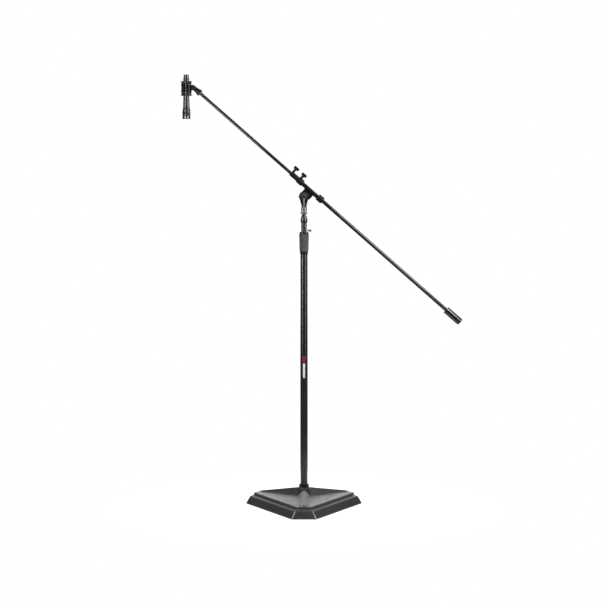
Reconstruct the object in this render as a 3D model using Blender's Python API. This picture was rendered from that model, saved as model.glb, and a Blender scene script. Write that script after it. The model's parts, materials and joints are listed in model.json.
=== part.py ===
"""Boom microphone stand: a cast iron foot, a telescoping mast with a twist clutch, a tilting and
sliding boom with a counterweight, and a microphone in an elastic shock mount.

Sizes are in millimetres and become metres as each mesh is made. The origin is on the floor at the
mast's axis, X runs along the boom's plan direction towards the counterweight, Z is up.
"""

import math

import bmesh
import bpy
from mathutils import Matrix, Vector

MM = 0.001
GAP = 0.3  # clearance between pieces that touch
SLIDE_GAP = 0.4  # clearance round a tube that slides or turns

# Foot: an equilateral triangle with its corners cut off
PAD_THICK = 3.0
TO_LONG_SIDE = 160.2  # centre to the middle of a long side
TO_SHORT_SIDE = 239.0  # centre to the middle of a cut corner
CORNER_DIRECTIONS = (30, 150, 270)
SIDE_DIRECTIONS = (90, 210, 330)
HUB_TOP = 82.0
HUB_RADIUS = 17.5
COLLAR_TOP = 94.0

# Mast
MAST_RADIUS = 14.3
MAST_BORE = 12.8
MAST_TOP = 1010.0
UPPER_RADIUS = 11.1
UPPER_BORE = 9.9
UPPER_BOTTOM = 240.0
UPPER_TOP = 1123.7
CLUTCH_BOTTOM = 1001.0
GRIP_BOTTOM = 1014.5
GRIP_TOP = 1080.8
CLUTCH_TOP = 1089.4
STUD_RADIUS = 7.9  # 5/8 inch thread
SOCKET_BOTTOM = 1160.0
SOCKET_TOP = 1186.0
STOP_SCREW_HEIGHT = 1095.3
STOP_SCREW_DIRECTION = -35.0

# Tilt joint and boom
PIVOT_HEIGHT = 1228.4
BOOM_SLOPE = 41.35
BOOM_OFFSET = 33.2  # pivot to the boom's axis
BOOM_RADIUS = 7.3
BOOM_BORE = 6.5
BOOM_TOP = 84.0  # along the boom from the pivot, positive towards the microphone
BOOM_BOTTOM = -738.0
WEIGHT_START = -708.0
WEIGHT_END = -784.0
WEIGHT_RADIUS = 14.45
SLEEVE_START = 61.4
SLEEVE_END = 98.0
SLEEVE_RADIUS = 10.0
EXTENSION_RADIUS = 6.2
EXTENSION_BORE = 5.2
EXTENSION_START = 14.0
EXTENSION_END = 561.0
EXTENSION_KNOB_AT = 93.0
BOOM_KNOB_AT = 54.0
KNOB_RADIUS = 12.0
KNOB_THICK = 11.4

# Microphone mount and microphone
MOUNT_PIVOT = 590.0  # along the boom from the pivot
MIC_FROM_MOUNT = 33.8
CAGE_HALF = 28.0
CAGE_RISE = 1.4  # the cage's middle above the mount's pivot
ARM_SCREW_HEIGHT = 4.5
CAGE_INNER = 18.2
CAGE_OUTER = 21.0
POST_HALF_ANGLE = 19.0
MIC_RADIUS = 12.0
MIC_HEAD_RADIUS = 15.8
MIC_TOP = 1698.0
MIC_BOTTOM = 1527.0
ELASTIC_RADIUS = 1.0

SMOOTH_BELOW = math.radians(40)

MATERIALS = {
    "cast_iron": ((0.045, 0.045, 0.047), 0.55, 0.0),
    "rubber": ((0.02, 0.02, 0.02), 0.85, 0.0),
    "black_tube": ((0.02, 0.02, 0.021), 0.32, 0.3),
    "black_gloss": ((0.012, 0.012, 0.013), 0.15, 0.3),
    "black_casting": ((0.022, 0.022, 0.023), 0.4, 0.1),
    "black_plastic": ((0.03, 0.03, 0.031), 0.5, 0.0),
    "grip_rubber": ((0.075, 0.075, 0.077), 0.65, 0.0),
    "steel": ((0.55, 0.55, 0.56), 0.3, 1.0),
    "dark_steel": ((0.12, 0.12, 0.125), 0.35, 0.9),
    "nylon": ((0.72, 0.71, 0.68), 0.5, 0.0),
    "mic_metal": ((0.05, 0.05, 0.052), 0.28, 0.8),
    "mesh_metal": ((0.22, 0.22, 0.225), 0.4, 0.9),
}


def clear_scene():
    for obj in list(bpy.data.objects):
        bpy.data.objects.remove(obj, do_unlink=True)


def material(name):
    if name in bpy.data.materials:
        return bpy.data.materials[name]
    colour, roughness, metallic = MATERIALS[name]
    made = bpy.data.materials.new(name)
    made.use_nodes = True
    shader = made.node_tree.nodes["Principled BSDF"]
    shader.inputs["Base Color"].default_value = (*colour, 1.0)
    shader.inputs["Roughness"].default_value = roughness
    shader.inputs["Metallic"].default_value = metallic
    made.diffuse_color = (*colour, 1.0)
    return made


def frame(name, at=(0, 0, 0), turn=(0, 0, 0), parent=None):
    """An empty that carries pieces; its turn is in degrees."""
    empty = bpy.data.objects.new(name, None)
    bpy.context.scene.collection.objects.link(empty)
    empty.parent = parent
    empty.location = Vector(at) * MM
    empty.rotation_euler = [math.radians(angle) for angle in turn]
    return empty


def solid(name, mesh, finish, parent=None, at=(0, 0, 0), turn=(0, 0, 0)):
    """Turns a finished bmesh, in millimetres, into an object in metres."""
    bmesh.ops.remove_doubles(mesh, verts=mesh.verts, dist=1e-4)
    bmesh.ops.recalc_face_normals(mesh, faces=mesh.faces)
    bmesh.ops.scale(mesh, vec=(MM, MM, MM), verts=mesh.verts)
    data = bpy.data.meshes.new(name)
    mesh.to_mesh(data)
    mesh.free()
    data.shade_smooth()
    data.set_sharp_from_angle(angle=SMOOTH_BELOW)
    data.materials.append(material(finish))
    obj = bpy.data.objects.new(name, data)
    bpy.context.scene.collection.objects.link(obj)
    obj.parent = parent
    obj.location = Vector(at) * MM
    obj.rotation_euler = [math.radians(angle) for angle in turn]
    return obj


def helper(obj):
    """Marks a cutter or a shape that another piece is joined from."""
    obj.hide_render = True
    obj.display_type = "WIRE"
    return obj


def combine(obj, other, operation):
    helper(other)
    step = obj.modifiers.new(other.name, "BOOLEAN")
    step.operation = operation
    step.solver = "EXACT"
    step.object = other


def cut(obj, *others):
    for other in others:
        combine(obj, other, "DIFFERENCE")


def join(obj, *others):
    for other in others:
        combine(obj, other, "UNION")


def turned_mesh(outline, steps, start=0.0, sweep=360.0):
    """Spins a closed (radius, height) outline about Z; one that begins and ends on the axis is open."""
    mesh = bmesh.new()
    verts = [mesh.verts.new((radius, 0, height)) for radius, height in outline]
    edges = [mesh.edges.new(pair) for pair in zip(verts, verts[1:])]
    solid_core = outline[0][0] == 0 and outline[-1][0] == 0
    if not solid_core:
        edges.append(mesh.edges.new((verts[-1], verts[0])))
    full = sweep >= 360.0
    caps = [] if full else [mesh.faces.new(verts)]
    first = Matrix.Rotation(math.radians(start), 3, "Z")
    bmesh.ops.rotate(mesh, verts=mesh.verts, cent=(0, 0, 0), matrix=first)
    bmesh.ops.spin(
        mesh, geom=verts + edges + caps, cent=(0, 0, 0), axis=(0, 0, 1),
        angle=math.radians(sweep), steps=steps, use_merge=full, use_duplicate=False,
    )
    return mesh


def turned(name, outline, finish, steps=24, start=0.0, sweep=360.0, **place):
    return solid(name, turned_mesh(outline, steps, start, sweep), finish, **place)


def ring(name, inner, outer, low, high, finish, steps=24, edge=0.0, start=0.0, **place):
    """A plain hollow cylinder, its outer edges chamfered by edge."""
    outline = [(inner, low), (outer - edge, low), (outer, low + edge), (outer, high - edge),
               (outer - edge, high), (inner, high)]
    if edge == 0.0:
        outline = [(inner, low), (outer, low), (outer, high), (inner, high)]
    return turned(name, outline, finish, steps, start, **place)


def rod(name, radius, low, high, finish, steps=16, edge=0.0, **place):
    outline = [(0, low), (radius - edge, low), (radius, low + edge), (radius, high - edge),
               (radius - edge, high), (0, high)]
    if edge == 0.0:
        outline = [(0, low), (radius, low), (radius, high), (0, high)]
    return turned(name, outline, finish, steps, **place)


def prism(name, outline, low, high, finish, **place):
    """A flat (x, y) outline raised from low to high along Z."""
    mesh = bmesh.new()
    floor = mesh.faces.new([mesh.verts.new((x, y, low)) for x, y in outline])
    raised = bmesh.ops.extrude_face_region(mesh, geom=[floor])["geom"]
    tops = [item for item in raised if isinstance(item, bmesh.types.BMVert)]
    bmesh.ops.translate(mesh, verts=tops, vec=(0, 0, high - low))
    return solid(name, mesh, finish, **place)


def box(name, low, high, finish="black_casting", **place):
    corners = [(low[0], low[1]), (high[0], low[1]), (high[0], high[1]), (low[0], high[1])]
    return prism(name, corners, low[2], high[2], finish, **place)


def bevel(obj, width, segments=1, angle=35):
    edge = obj.modifiers.new("edge", "BEVEL")
    edge.width = width * MM
    edge.segments = segments
    edge.limit_method = "ANGLE"
    edge.angle_limit = math.radians(angle)


def polar(radius, degrees):
    angle = math.radians(degrees)
    return (radius * math.cos(angle), radius * math.sin(angle))


def arc(centre, radius, first, last, count):
    """Points on a circle from one angle to another, both ends included."""
    step = (last - first) / (count - 1)
    points = (polar(radius, first + step * i) for i in range(count))
    return [(centre[0] + x, centre[1] + y) for x, y in points]


def hexagon(across_flats):
    """A regular hexagon outline, by its distance between opposite flats."""
    return [polar(across_flats / math.sqrt(3), 60 * i) for i in range(6)]


def lobed(radius, depth, lobes, points_each):
    """The outline of a fluted knob."""
    count = lobes * points_each
    outline = []
    for i in range(count):
        turn = 360.0 * i / count
        wave = 0.5 + 0.5 * math.cos(math.radians(lobes * turn))
        outline.append(polar(radius - depth * (1 - wave), turn))
    return outline


# ---------------------------------------------------------------- foot


def cut_triangle(to_long, to_short):
    """Corners of the triangle with cut corners, whose sides lie at these distances from the centre."""
    points = []
    sine, cosine = math.sin(math.radians(60)), 0.5
    for corner in CORNER_DIRECTIONS:
        for side in (corner - 60, corner + 60):
            along_side = (to_long - to_short * cosine) / sine**2
            along_corner = (to_short - to_long * cosine) / sine**2
            sx, sy = polar(along_side, side)
            cx, cy = polar(along_corner, corner)
            points.append((sx + cx, sy + cy))
    return points


def stacked(name, levels, finish, vertical_edge=0.0):
    """A solid of cut triangles one above another; each level is (to_long, to_short, height)."""
    mesh = bmesh.new()
    rows = []
    for to_long, to_short, height in levels:
        outline = cut_triangle(to_long, to_short)
        rows.append([mesh.verts.new((x, y, height)) for x, y in outline])
    mesh.faces.new(rows[0])
    mesh.faces.new(rows[-1])
    uprights = []
    for lower, upper in zip(rows, rows[1:]):
        for i in range(6):
            after = (i + 1) % 6
            mesh.faces.new((lower[i], lower[after], upper[after], upper[i]))
            uprights.append(mesh.edges.get((lower[i], upper[i])))
    if vertical_edge:
        bmesh.ops.bevel(
            mesh, geom=uprights, offset=vertical_edge, offset_type="OFFSET", segments=2,
            profile=0.5, affect="EDGES", clamp_overlap=True,
        )
    return solid(name, mesh, finish)


def foot_shell():
    """The sloping rim, the cove inside it and the plate that rises gently to the hub."""
    rim_top = 30.0
    plate_edge = 44.0
    levels = (
        (TO_LONG_SIDE, TO_SHORT_SIDE, PAD_THICK + GAP),
        (TO_LONG_SIDE - 16.4, TO_SHORT_SIDE - 11.0, rim_top - 0.8),
        (TO_LONG_SIDE - 18.0, TO_SHORT_SIDE - 12.2, rim_top),
        (TO_LONG_SIDE - 26.5, TO_SHORT_SIDE - 21.0, rim_top + 2.8),
        (TO_LONG_SIDE - 29.0, TO_SHORT_SIDE - 23.8, rim_top + 6.5),
        (TO_LONG_SIDE - 29.6, TO_SHORT_SIDE - 24.6, plate_edge - 0.7),
        (TO_LONG_SIDE - 30.8, TO_SHORT_SIDE - 25.8, plate_edge),
        (16.0, 24.0, 52.5),
    )
    return stacked("base_casting", levels, "cast_iron", vertical_edge=1.6)


def foot_hollow():
    """The space under the plate, a wall's thickness inside the shell."""
    levels = (
        (TO_LONG_SIDE - 8.0, TO_SHORT_SIDE - 9.0, 0.0),
        (TO_LONG_SIDE - 24.5, TO_SHORT_SIDE - 24.5, 22.0),
        (TO_LONG_SIDE - 38.5, TO_SHORT_SIDE - 41.5, 32.5),
        (16.0, 24.0, 44.0),
    )
    return stacked("foot_hollow", levels, "cast_iron")


def foot_arm(direction):
    """A ridge with a roof-shaped section that falls from the hub to a cut corner."""
    near, far = 12.0, 197.0
    crest = ((near, 82.6), (far, 50.4))
    half_widths = (38.0, 14.5)
    skirts = (39.5, 37.0)
    mesh = bmesh.new()
    ends = []
    for (radius, top), half, skirt in zip(crest, half_widths, skirts):
        corners = ((radius, -half, skirt), (radius, half, skirt), (radius, 0, top))
        ends.append([mesh.verts.new(corner) for corner in corners])
    mesh.faces.new(ends[0])
    mesh.faces.new(ends[1])
    for i in range(3):
        after = (i + 1) % 3
        mesh.faces.new((ends[0][i], ends[0][after], ends[1][after], ends[1][i]))
    return solid(f"foot_arm_{direction}", mesh, "cast_iron", turn=(0, 0, direction))


def foot_gusset(direction):
    """A thin web that braces the hub between two arms."""
    outline = ((10.0, 45.0), (33.0, 45.0), (29.0, 55.0), (19.0, HUB_TOP - 0.5), (10.0, HUB_TOP - 0.5))
    half = 2.75
    mesh = bmesh.new()
    face = mesh.faces.new([mesh.verts.new((r, -half, z)) for r, z in outline])
    raised = bmesh.ops.extrude_face_region(mesh, geom=[face])["geom"]
    moved = [item for item in raised if isinstance(item, bmesh.types.BMVert)]
    bmesh.ops.translate(mesh, verts=moved, vec=(0, 2 * half, 0))
    return solid(f"foot_gusset_{direction}", mesh, "cast_iron", turn=(0, 0, direction))


def foot_rib(direction):
    """A web under the plate from the hub's boss towards a cut corner."""
    rib = box(f"foot_rib_{direction}", (12, -3.5, 12), (TO_SHORT_SIDE - 38, 3.5, 36), "cast_iron")
    rib.rotation_euler.z = math.radians(direction)
    return rib


def make_foot():
    casting = foot_shell()
    cut(casting, foot_hollow())
    hub = [(0, 28), (24, 28), (24, 47), (23, 49), (HUB_RADIUS, HUB_TOP), (0, HUB_TOP)]
    join(casting, turned("foot_hub", hub, "cast_iron", steps=32, start=4.0))
    join(casting, *[foot_arm(d) for d in CORNER_DIRECTIONS])
    join(casting, *[foot_gusset(d) for d in SIDE_DIRECTIONS])
    join(casting, *[foot_rib(d) for d in CORNER_DIRECTIONS])
    cut(casting, rod("mast_bore", MAST_RADIUS + GAP, 40, HUB_TOP + 9, "cast_iron", steps=24))
    cut(casting, rod("bolt_bore", 5.6, 20, 50, "cast_iron", steps=16))
    inset = 1.0
    pad_levels = [(TO_LONG_SIDE - inset, TO_SHORT_SIDE - inset, height) for height in (0, PAD_THICK)]
    stacked("base_pad", pad_levels, "rubber")


def make_mast_root():
    """The mast's lower end: a plug inside the tube, pulled down by a bolt from under the foot."""
    plug = [(5.5, 40.3), (14.2, 40.3), (14.2, 43.0), (MAST_BORE - GAP, 43.0), (MAST_BORE - GAP, 74.0),
            (11.5, 75.0), (5.5, 75.0)]
    turned("mast_foot_plug", plug, "dark_steel", steps=16)
    ring("base_washer", 5.6, 11.0, 25.7, 27.7, "steel", steps=16)
    bolt = prism("base_bolt", hexagon(16), 17.4, 25.4, "steel")
    join(bolt, rod("base_bolt_shank", 5.2, 24, 70, "steel", steps=12))
    collar = [(MAST_RADIUS + GAP, HUB_TOP + GAP), (19.2, HUB_TOP + GAP), (19.2, 88.4), (20.2, 89.2),
              (20.2, COLLAR_TOP - 0.8), (19.4, COLLAR_TOP), (MAST_RADIUS + GAP, COLLAR_TOP)]
    turned("mast_lock_collar", collar, "black_casting", steps=28)


# ---------------------------------------------------------------- mast


def make_lower_mast():
    ring("lower_tube", MAST_BORE, MAST_RADIUS, 43.3, MAST_TOP, "black_tube", steps=28)
    bore = UPPER_RADIUS + SLIDE_GAP
    body = [(bore, 980), (MAST_BORE - GAP, 980), (MAST_BORE - GAP, MAST_TOP + GAP),
            (MAST_RADIUS, MAST_TOP + GAP), (MAST_RADIUS, 1059), (13.0, 1059), (13.0, 1040), (bore, 1040)]
    turned("clutch_body", body, "dark_steel", steps=24)
    split = 14.0
    turned("clutch_collet", [(bore, 1040.3), (12.7, 1040.3), (12.7, 1056), (12.0, 1058), (bore, 1058)],
           "nylon", steps=22, start=split / 2, sweep=360 - split)


def make_clutch():
    """The three rings that turn together and squeeze the collet."""
    clear = MAST_RADIUS + SLIDE_GAP
    lower = [(clear, CLUTCH_BOTTOM), (15.0, CLUTCH_BOTTOM), (16.3, GRIP_BOTTOM - 3.0),
             (16.5, GRIP_BOTTOM - 1.4), (16.2, GRIP_BOTTOM - GAP), (clear, GRIP_BOTTOM - GAP)]
    turned("clutch_ring", lower, "black_gloss", steps=28)
    grip = [(clear, GRIP_BOTTOM), (16.6, GRIP_BOTTOM), (17.2, GRIP_BOTTOM + 1.2), (18.9, GRIP_TOP - 1.0),
            (18.5, GRIP_TOP), (clear, GRIP_TOP)]
    turned("clutch_grip", grip, "grip_rubber", steps=28)
    bore = UPPER_RADIUS + SLIDE_GAP
    skirt = MAST_RADIUS - GAP
    cap = [(bore, 1061), (skirt, 1061), (skirt, GRIP_TOP + GAP), (18.0, GRIP_TOP + GAP),
           (18.3, GRIP_TOP + 1.2), (18.3, CLUTCH_TOP - 2.6), (17.4, CLUTCH_TOP - 0.9), (15.4, CLUTCH_TOP),
           (bore, CLUTCH_TOP)]
    turned("clutch_cap", cap, "black_gloss", steps=28)


def make_upper_mast():
    glide = [(6.0, 214), (MAST_BORE - GAP, 214), (MAST_BORE - GAP, UPPER_BOTTOM - GAP),
             (UPPER_BORE - GAP, UPPER_BOTTOM - GAP), (UPPER_BORE - GAP, 262), (6.0, 262)]
    turned("mast_glide", glide, "nylon", steps=16)
    tube = ring("upper_tube", UPPER_BORE, UPPER_RADIUS, UPPER_BOTTOM, UPPER_TOP, "black_tube", steps=24)
    cut(tube, rod("stop_screw_bore", 2.8, 5, 15, "dark_steel", steps=12, at=(0, 0, STOP_SCREW_HEIGHT),
                  turn=(0, 90, STOP_SCREW_DIRECTION)))
    ferrule = [(0, 1103), (UPPER_BORE - GAP, 1103), (UPPER_BORE - GAP, UPPER_TOP + GAP),
               (UPPER_RADIUS + 0.2, UPPER_TOP + GAP), (13.1, 1127.0), (13.75, 1131.5), (13.4, 1136.5),
               (12.1, 1144.0), (10.2, 1151.0), (8.6, 1156.0), (STUD_RADIUS, 1157.2), (STUD_RADIUS, 1176.5),
               (7.2, 1177.5), (0, 1177.5)]
    turned("mast_ferrule", ferrule, "black_gloss", steps=24)


def make_stop_screw():
    """A thumbscrew through the inner tube, which keeps it from dropping into the clutch."""
    place = {"at": (0, 0, STOP_SCREW_HEIGHT), "turn": (0, 90, STOP_SCREW_DIRECTION)}
    stud = [(0, 8.0), (2.5, 8.0), (2.5, 11.6), (4.6, 11.6), (4.6, 14.0), (2.9, 14.6), (2.9, 23.4), (0, 23.4)]
    turned("stop_screw_stud", stud, "steel", steps=16, **place)
    head = prism("stop_screw_head", lobed(5.0, 0.45, 8, 4), 23.7, 33.2, "dark_steel", **place)
    bevel(head, 0.7)


# ---------------------------------------------------------------- tilt joint


def make_swivel_socket():
    bore = STUD_RADIUS + GAP
    outline = [(bore, SOCKET_BOTTOM), (12.6, SOCKET_BOTTOM), (13.5, SOCKET_BOTTOM + 1.0),
               (13.5, SOCKET_BOTTOM + 3.4), (12.6, SOCKET_BOTTOM + 4.3), (11.0, SOCKET_BOTTOM + 5.4),
               (11.0, SOCKET_TOP - 1.0), (10.2, SOCKET_TOP), (5.3, SOCKET_TOP), (5.3, 1179.0), (bore, 1179.0)]
    socket = turned("swivel_socket", outline, "black_gloss", steps=24)
    place = {"at": (0, 0, 1175.0), "turn": (90, 0, 0)}
    cut(socket, rod("set_screw_bore", 3.3, 7.0, 15.0, "steel", steps=16, **place))
    screw = [(0, 8.3), (3.0, 8.3), (3.0, 10.0), (1.5, 10.0), (1.5, 9.0), (0, 9.0)]
    turned("socket_set_screw", screw, "dark_steel", steps=12, **place)


def make_swivel_yoke():
    """Two round ears on a neck; the slot between them takes the boom cradle's tongue."""
    ear = 18.8
    neck = 10.0
    low = SOCKET_TOP + GAP - PIVOT_HEIGHT
    outline = [(-neck, low + 5), (-neck, low), (neck, low), (neck, low + 5)]
    outline += arc((0, 0), ear, -15, 195, 20)
    half_depth = 11.5
    place = {"at": (0, 0, PIVOT_HEIGHT), "turn": (90, 0, 0)}
    yoke = prism("swivel_yoke", outline, -half_depth, half_depth, "black_casting", **place)
    bevel(yoke, 2.4, segments=2)
    slot = 5.6
    cut(yoke, box("yoke_slot", (-30, -22.6, -slot), (30, 40, slot), **place))
    join(yoke, rod("yoke_spigot", 5.0, 1180.0, SOCKET_TOP + 4, "black_casting", steps=16))
    cut(yoke, rod("yoke_bore", 4.3, -30, 30, "black_casting", steps=16, **place))
    for name, low_y in (("friction_washer_front", 4.35), ("friction_washer_rear", -5.3)):
        ring(name, 4.4, 15.0, low_y, low_y + 0.95, "nylon", steps=20, **place)
    nut = prism("tilt_nut", hexagon(13), -17.6, -half_depth - GAP, "steel", **place)
    cut(nut, rod("tilt_nut_bore", 4.3, -20, -10, "steel", steps=16, **place))


def make_tilt_clamp():
    """The bolt through the tilt joint and the lever on its front end."""
    place = {"at": (0, 0, PIVOT_HEIGHT), "turn": (90, 0, 0)}
    bolt = [(0, -19.0), (3.4, -19.0), (4.0, -18.4), (4.0, 18.3), (6.3, 18.3), (6.3, 21.0), (5.3, 22.2),
            (0, 22.2)]
    turned("tilt_bolt", bolt, "black_gloss", steps=20, **place)
    lever = ring("tilt_lever", 4.3, 7.6, 11.8, 17.0, "dark_steel", steps=24, edge=0.7, **place)
    half = 3.85
    bar = [(-half + 0.4, -5.5)] + arc((0, -41.0), half, 180, 360, 9) + [(half - 0.4, -5.5)]
    blade = prism("lever_blade", bar, 13.2, 18.0, "dark_steel", **place)
    bevel(blade, 0.9)
    join(lever, blade)


def make_boom_cradle(boom):
    """A half-pipe under the boom with a closed collar at each end and a tongue down to the pivot."""
    rail = 9.2
    mic_collar, weight_collar = 12.75, 13.3
    outline = [(0, -67), (weight_collar - 0.8, -67), (weight_collar, -66.2), (weight_collar, -42.8),
               (weight_collar - 0.8, -42), (rail, -42), (rail, 36), (mic_collar - 0.7, 36),
               (mic_collar, 36.7), (mic_collar, 60.4), (mic_collar - 0.7, 61), (0, 61)]
    cradle = turned("boom_cradle", outline, "black_casting", steps=24, start=2.0, parent=boom)
    under_rail = -5.0
    web = arc((-BOOM_OFFSET, 0), 20.5, 123, 233, 11)
    web += [(7 - BOOM_OFFSET, -24.8), (under_rail, -24.8), (under_rail, 17.2)]
    tongue = prism("cradle_tongue", web, -4.05, 4.05, "black_casting", parent=boom, turn=(90, 0, 0))
    cut(tongue, rod("cradle_pivot_bore", 4.3, -20, 20, "black_casting", steps=16, parent=boom,
                    at=(-BOOM_OFFSET, 0, 0), turn=(90, 0, 0)))
    join(cradle, tongue)
    screw_axis = {"parent": boom, "at": (0, 0, BOOM_KNOB_AT), "turn": (0, 90, 0)}
    join(cradle, rod("cradle_boss", 5.6, 5.0, 17.2, "black_casting", steps=16, **screw_axis))

    bore = BOOM_RADIUS + GAP
    seat = 9.1
    hollow = [(0, -70), (seat, -70), (seat, -45), (bore, -45), (bore, 39), (seat, 39), (seat, 48.3),
              (bore, 48.3), (bore, 64), (0, 64)]
    cut(cradle, turned("cradle_hollow", hollow, "black_casting", steps=24, start=5.0, parent=boom))
    cut(cradle, box("cradle_opening", (-1.5, -20, -41.8), (20, 20, 35.8), parent=boom))
    cut(cradle, rod("cradle_screw_bore", 2.8, 3, 20, "black_casting", steps=16, **screw_axis))
    liner = seat - GAP
    ring("cradle_liner_mic_side", bore, liner, 39.3, 48.0, "nylon", steps=20, start=5.0, parent=boom)
    ring("cradle_liner_weight_side", bore, liner, -66.8, -45.3, "nylon", steps=20, start=5.0, parent=boom)


def make_knob(name, along, screw_end, boss_top, boom):
    """A fluted clamp knob on a screw whose tip bears on a tube; its axis crosses the boom's."""
    axis = frame(name + "_axis", at=(0, 0, along), turn=(0, 90, 0), parent=boom)
    head_low = 22.2
    rod(name + "_screw", 2.5, screw_end, head_low + 4.0, "steel", steps=16, parent=axis)
    knob = prism(name + "_knob", lobed(KNOB_RADIUS, 1.9, 5, 6), head_low, head_low + KNOB_THICK,
                 "black_plastic", parent=axis)
    bevel(knob, 1.4)
    neck_low = boss_top + GAP
    join(knob, rod(name + "_neck", 5.2, neck_low, head_low + 2, "black_plastic", steps=16, parent=axis))
    cut(knob, rod(name + "_screw_seat", 2.8, 0, head_low + 4.4, "steel", steps=16, parent=axis))


# ---------------------------------------------------------------- boom


def make_boom(boom):
    ring("boom_tube", BOOM_BORE, BOOM_RADIUS, BOOM_BOTTOM, BOOM_TOP, "black_tube", steps=24, parent=boom)
    bore = BOOM_RADIUS + GAP
    throat = EXTENSION_RADIUS + GAP
    sleeve = [(bore, SLEEVE_START), (SLEEVE_RADIUS - 0.6, SLEEVE_START), (SLEEVE_RADIUS, SLEEVE_START + 0.6),
              (SLEEVE_RADIUS, SLEEVE_END - 1.6), (SLEEVE_RADIUS - 1.4, SLEEVE_END), (throat, SLEEVE_END),
              (throat, BOOM_TOP + GAP), (bore, BOOM_TOP + GAP)]
    sleeve = turned("boom_sleeve", sleeve, "black_plastic", steps=24, parent=boom)
    screw_axis = {"parent": boom, "at": (0, 0, EXTENSION_KNOB_AT), "turn": (0, 90, 0)}
    join(sleeve, rod("sleeve_boss", 4.9, 7.5, 16.0, "black_plastic", steps=16, **screw_axis))
    cut(sleeve, rod("sleeve_screw_bore", 2.8, 4, 18, "black_plastic", steps=16, **screw_axis))
    weight = [(0, WEIGHT_END), (WEIGHT_RADIUS - 3.4, WEIGHT_END), (WEIGHT_RADIUS - 1.0, WEIGHT_END + 1.0),
              (WEIGHT_RADIUS, WEIGHT_END + 3.4), (WEIGHT_RADIUS, WEIGHT_START - 1.0),
              (WEIGHT_RADIUS - 1.0, WEIGHT_START), (bore, WEIGHT_START), (bore, BOOM_BOTTOM - GAP),
              (0, BOOM_BOTTOM - GAP)]
    weight = turned("counterweight", weight, "black_gloss", steps=28, parent=boom)
    under = {"parent": boom, "at": (0, 0, WEIGHT_START - 15), "turn": (0, -90, 0)}
    cut(weight, rod("weight_screw_bore", 2.8, 5, 20, "steel", steps=12, **under))
    screw = [(0, bore), (2.5, bore), (2.5, 13.2), (1.4, 13.2), (1.4, 11.0), (0, 11.0)]
    turned("counterweight_set_screw", screw, "dark_steel", steps=12, **under)


def make_extension(boom):
    glide = [(3.0, EXTENSION_START - 12), (EXTENSION_RADIUS, EXTENSION_START - 12),
             (EXTENSION_RADIUS, EXTENSION_START - GAP), (EXTENSION_BORE - GAP, EXTENSION_START - GAP),
             (EXTENSION_BORE - GAP, EXTENSION_START + 12), (3.0, EXTENSION_START + 12)]
    turned("extension_glide", glide, "nylon", steps=16, parent=boom)
    ring("extension_tube", EXTENSION_BORE, EXTENSION_RADIUS, EXTENSION_START, EXTENSION_END, "black_tube",
         steps=24, parent=boom)
    stud = [(0, EXTENSION_END - 20), (EXTENSION_BORE - GAP, EXTENSION_END - 20),
            (EXTENSION_BORE - GAP, EXTENSION_END + GAP), (STUD_RADIUS, EXTENSION_END + GAP),
            (STUD_RADIUS, 576), (7.1, 577), (0, 577)]
    turned("boom_tip_stud", stud, "steel", steps=20, parent=boom)


# ---------------------------------------------------------------- microphone mount


def make_mount_base(boom):
    """The nuts on the boom's thread and the fork that the shock mount tilts in."""
    bore = STUD_RADIUS + GAP
    ring("mount_lock_nut", bore, 13.35, 562.0, 566.6, "black_gloss", steps=24, edge=0.8, parent=boom)
    outline = [(0, 577.8), (bore, 577.8), (bore, 566.9), (11.6, 566.9), (12.2, 567.6), (12.2, 573.0),
               (10.6, 575.0), (10.6, 580.6), (0, 580.6)]
    socket = turned("mount_socket", outline[::-1], "black_casting", steps=24, parent=boom)
    ears = [(-8.8, 578), (8.8, 578)] + arc((0, MOUNT_PIVOT), 9.0, 0, 180, 13)
    fork = prism("mount_fork", ears, -8.4, 8.4, "black_casting", parent=boom, turn=(90, 0, 0))
    join(socket, fork)
    cut(socket, box("mount_fork_slot", (-20, -4.3, 581.2), (20, 4.3, 610), parent=boom))
    pin = {"parent": boom, "at": (0, 0, MOUNT_PIVOT), "turn": (90, 0, 0)}
    cut(socket, rod("mount_fork_bore", 2.7, -20, 20, "black_casting", steps=16, **pin))
    nut = prism("mount_nut", hexagon(8), -12.4, -8.7, "steel", **pin)
    cut(nut, rod("mount_nut_bore", 2.7, -14, -8, "steel", steps=16, **pin))


def make_mount_knob(mount):
    rod("mount_bolt", 2.4, -13.6, 15.0, "steel", steps=16, parent=mount, turn=(90, 0, 0))
    oval = [(0.72 * x, y) for x, y in arc((0, 0), 10.4, 0, 360, 29)[:-1]]
    knob = prism("mount_thumb_knob", oval, 11.0, 19.8, "black_plastic", parent=mount, turn=(90, 0, 0))
    bevel(knob, 0.9)
    join(knob, rod("mount_knob_neck", 5.0, 8.8, 12.0, "black_plastic", steps=16, parent=mount,
                   turn=(90, 0, 0)))
    cut(knob, rod("mount_knob_seat", 2.7, 5, 15.4, "steel", steps=16, parent=mount, turn=(90, 0, 0)))


def make_mount_arm(mount):
    """The tongue between the fork's ears and the arm that carries the cage."""
    reach = MIC_FROM_MOUNT - CAGE_OUTER - GAP
    outline = arc((0, 0), 7.4, -90, 60, 10) + [(-4.0, 15.0), (-reach, 15.0), (-reach, -4.0)]
    arm = prism("mount_arm", outline, -3.9, 3.9, "black_casting", parent=mount, turn=(90, 0, 0))
    join(arm, box("arm_foot", (-reach, -6.5, -5.0), (-reach + 2.6, 6.5, 15.6), parent=mount))
    cut(arm, rod("arm_bore", 2.7, -10, 10, "black_casting", steps=16, parent=mount, turn=(90, 0, 0)))
    cut(arm, rod("arm_screw_bore", 1.7, -16, -5, "black_casting", steps=12, parent=mount,
                 at=(0, 0, ARM_SCREW_HEIGHT), turn=(0, 90, 0)))


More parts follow.
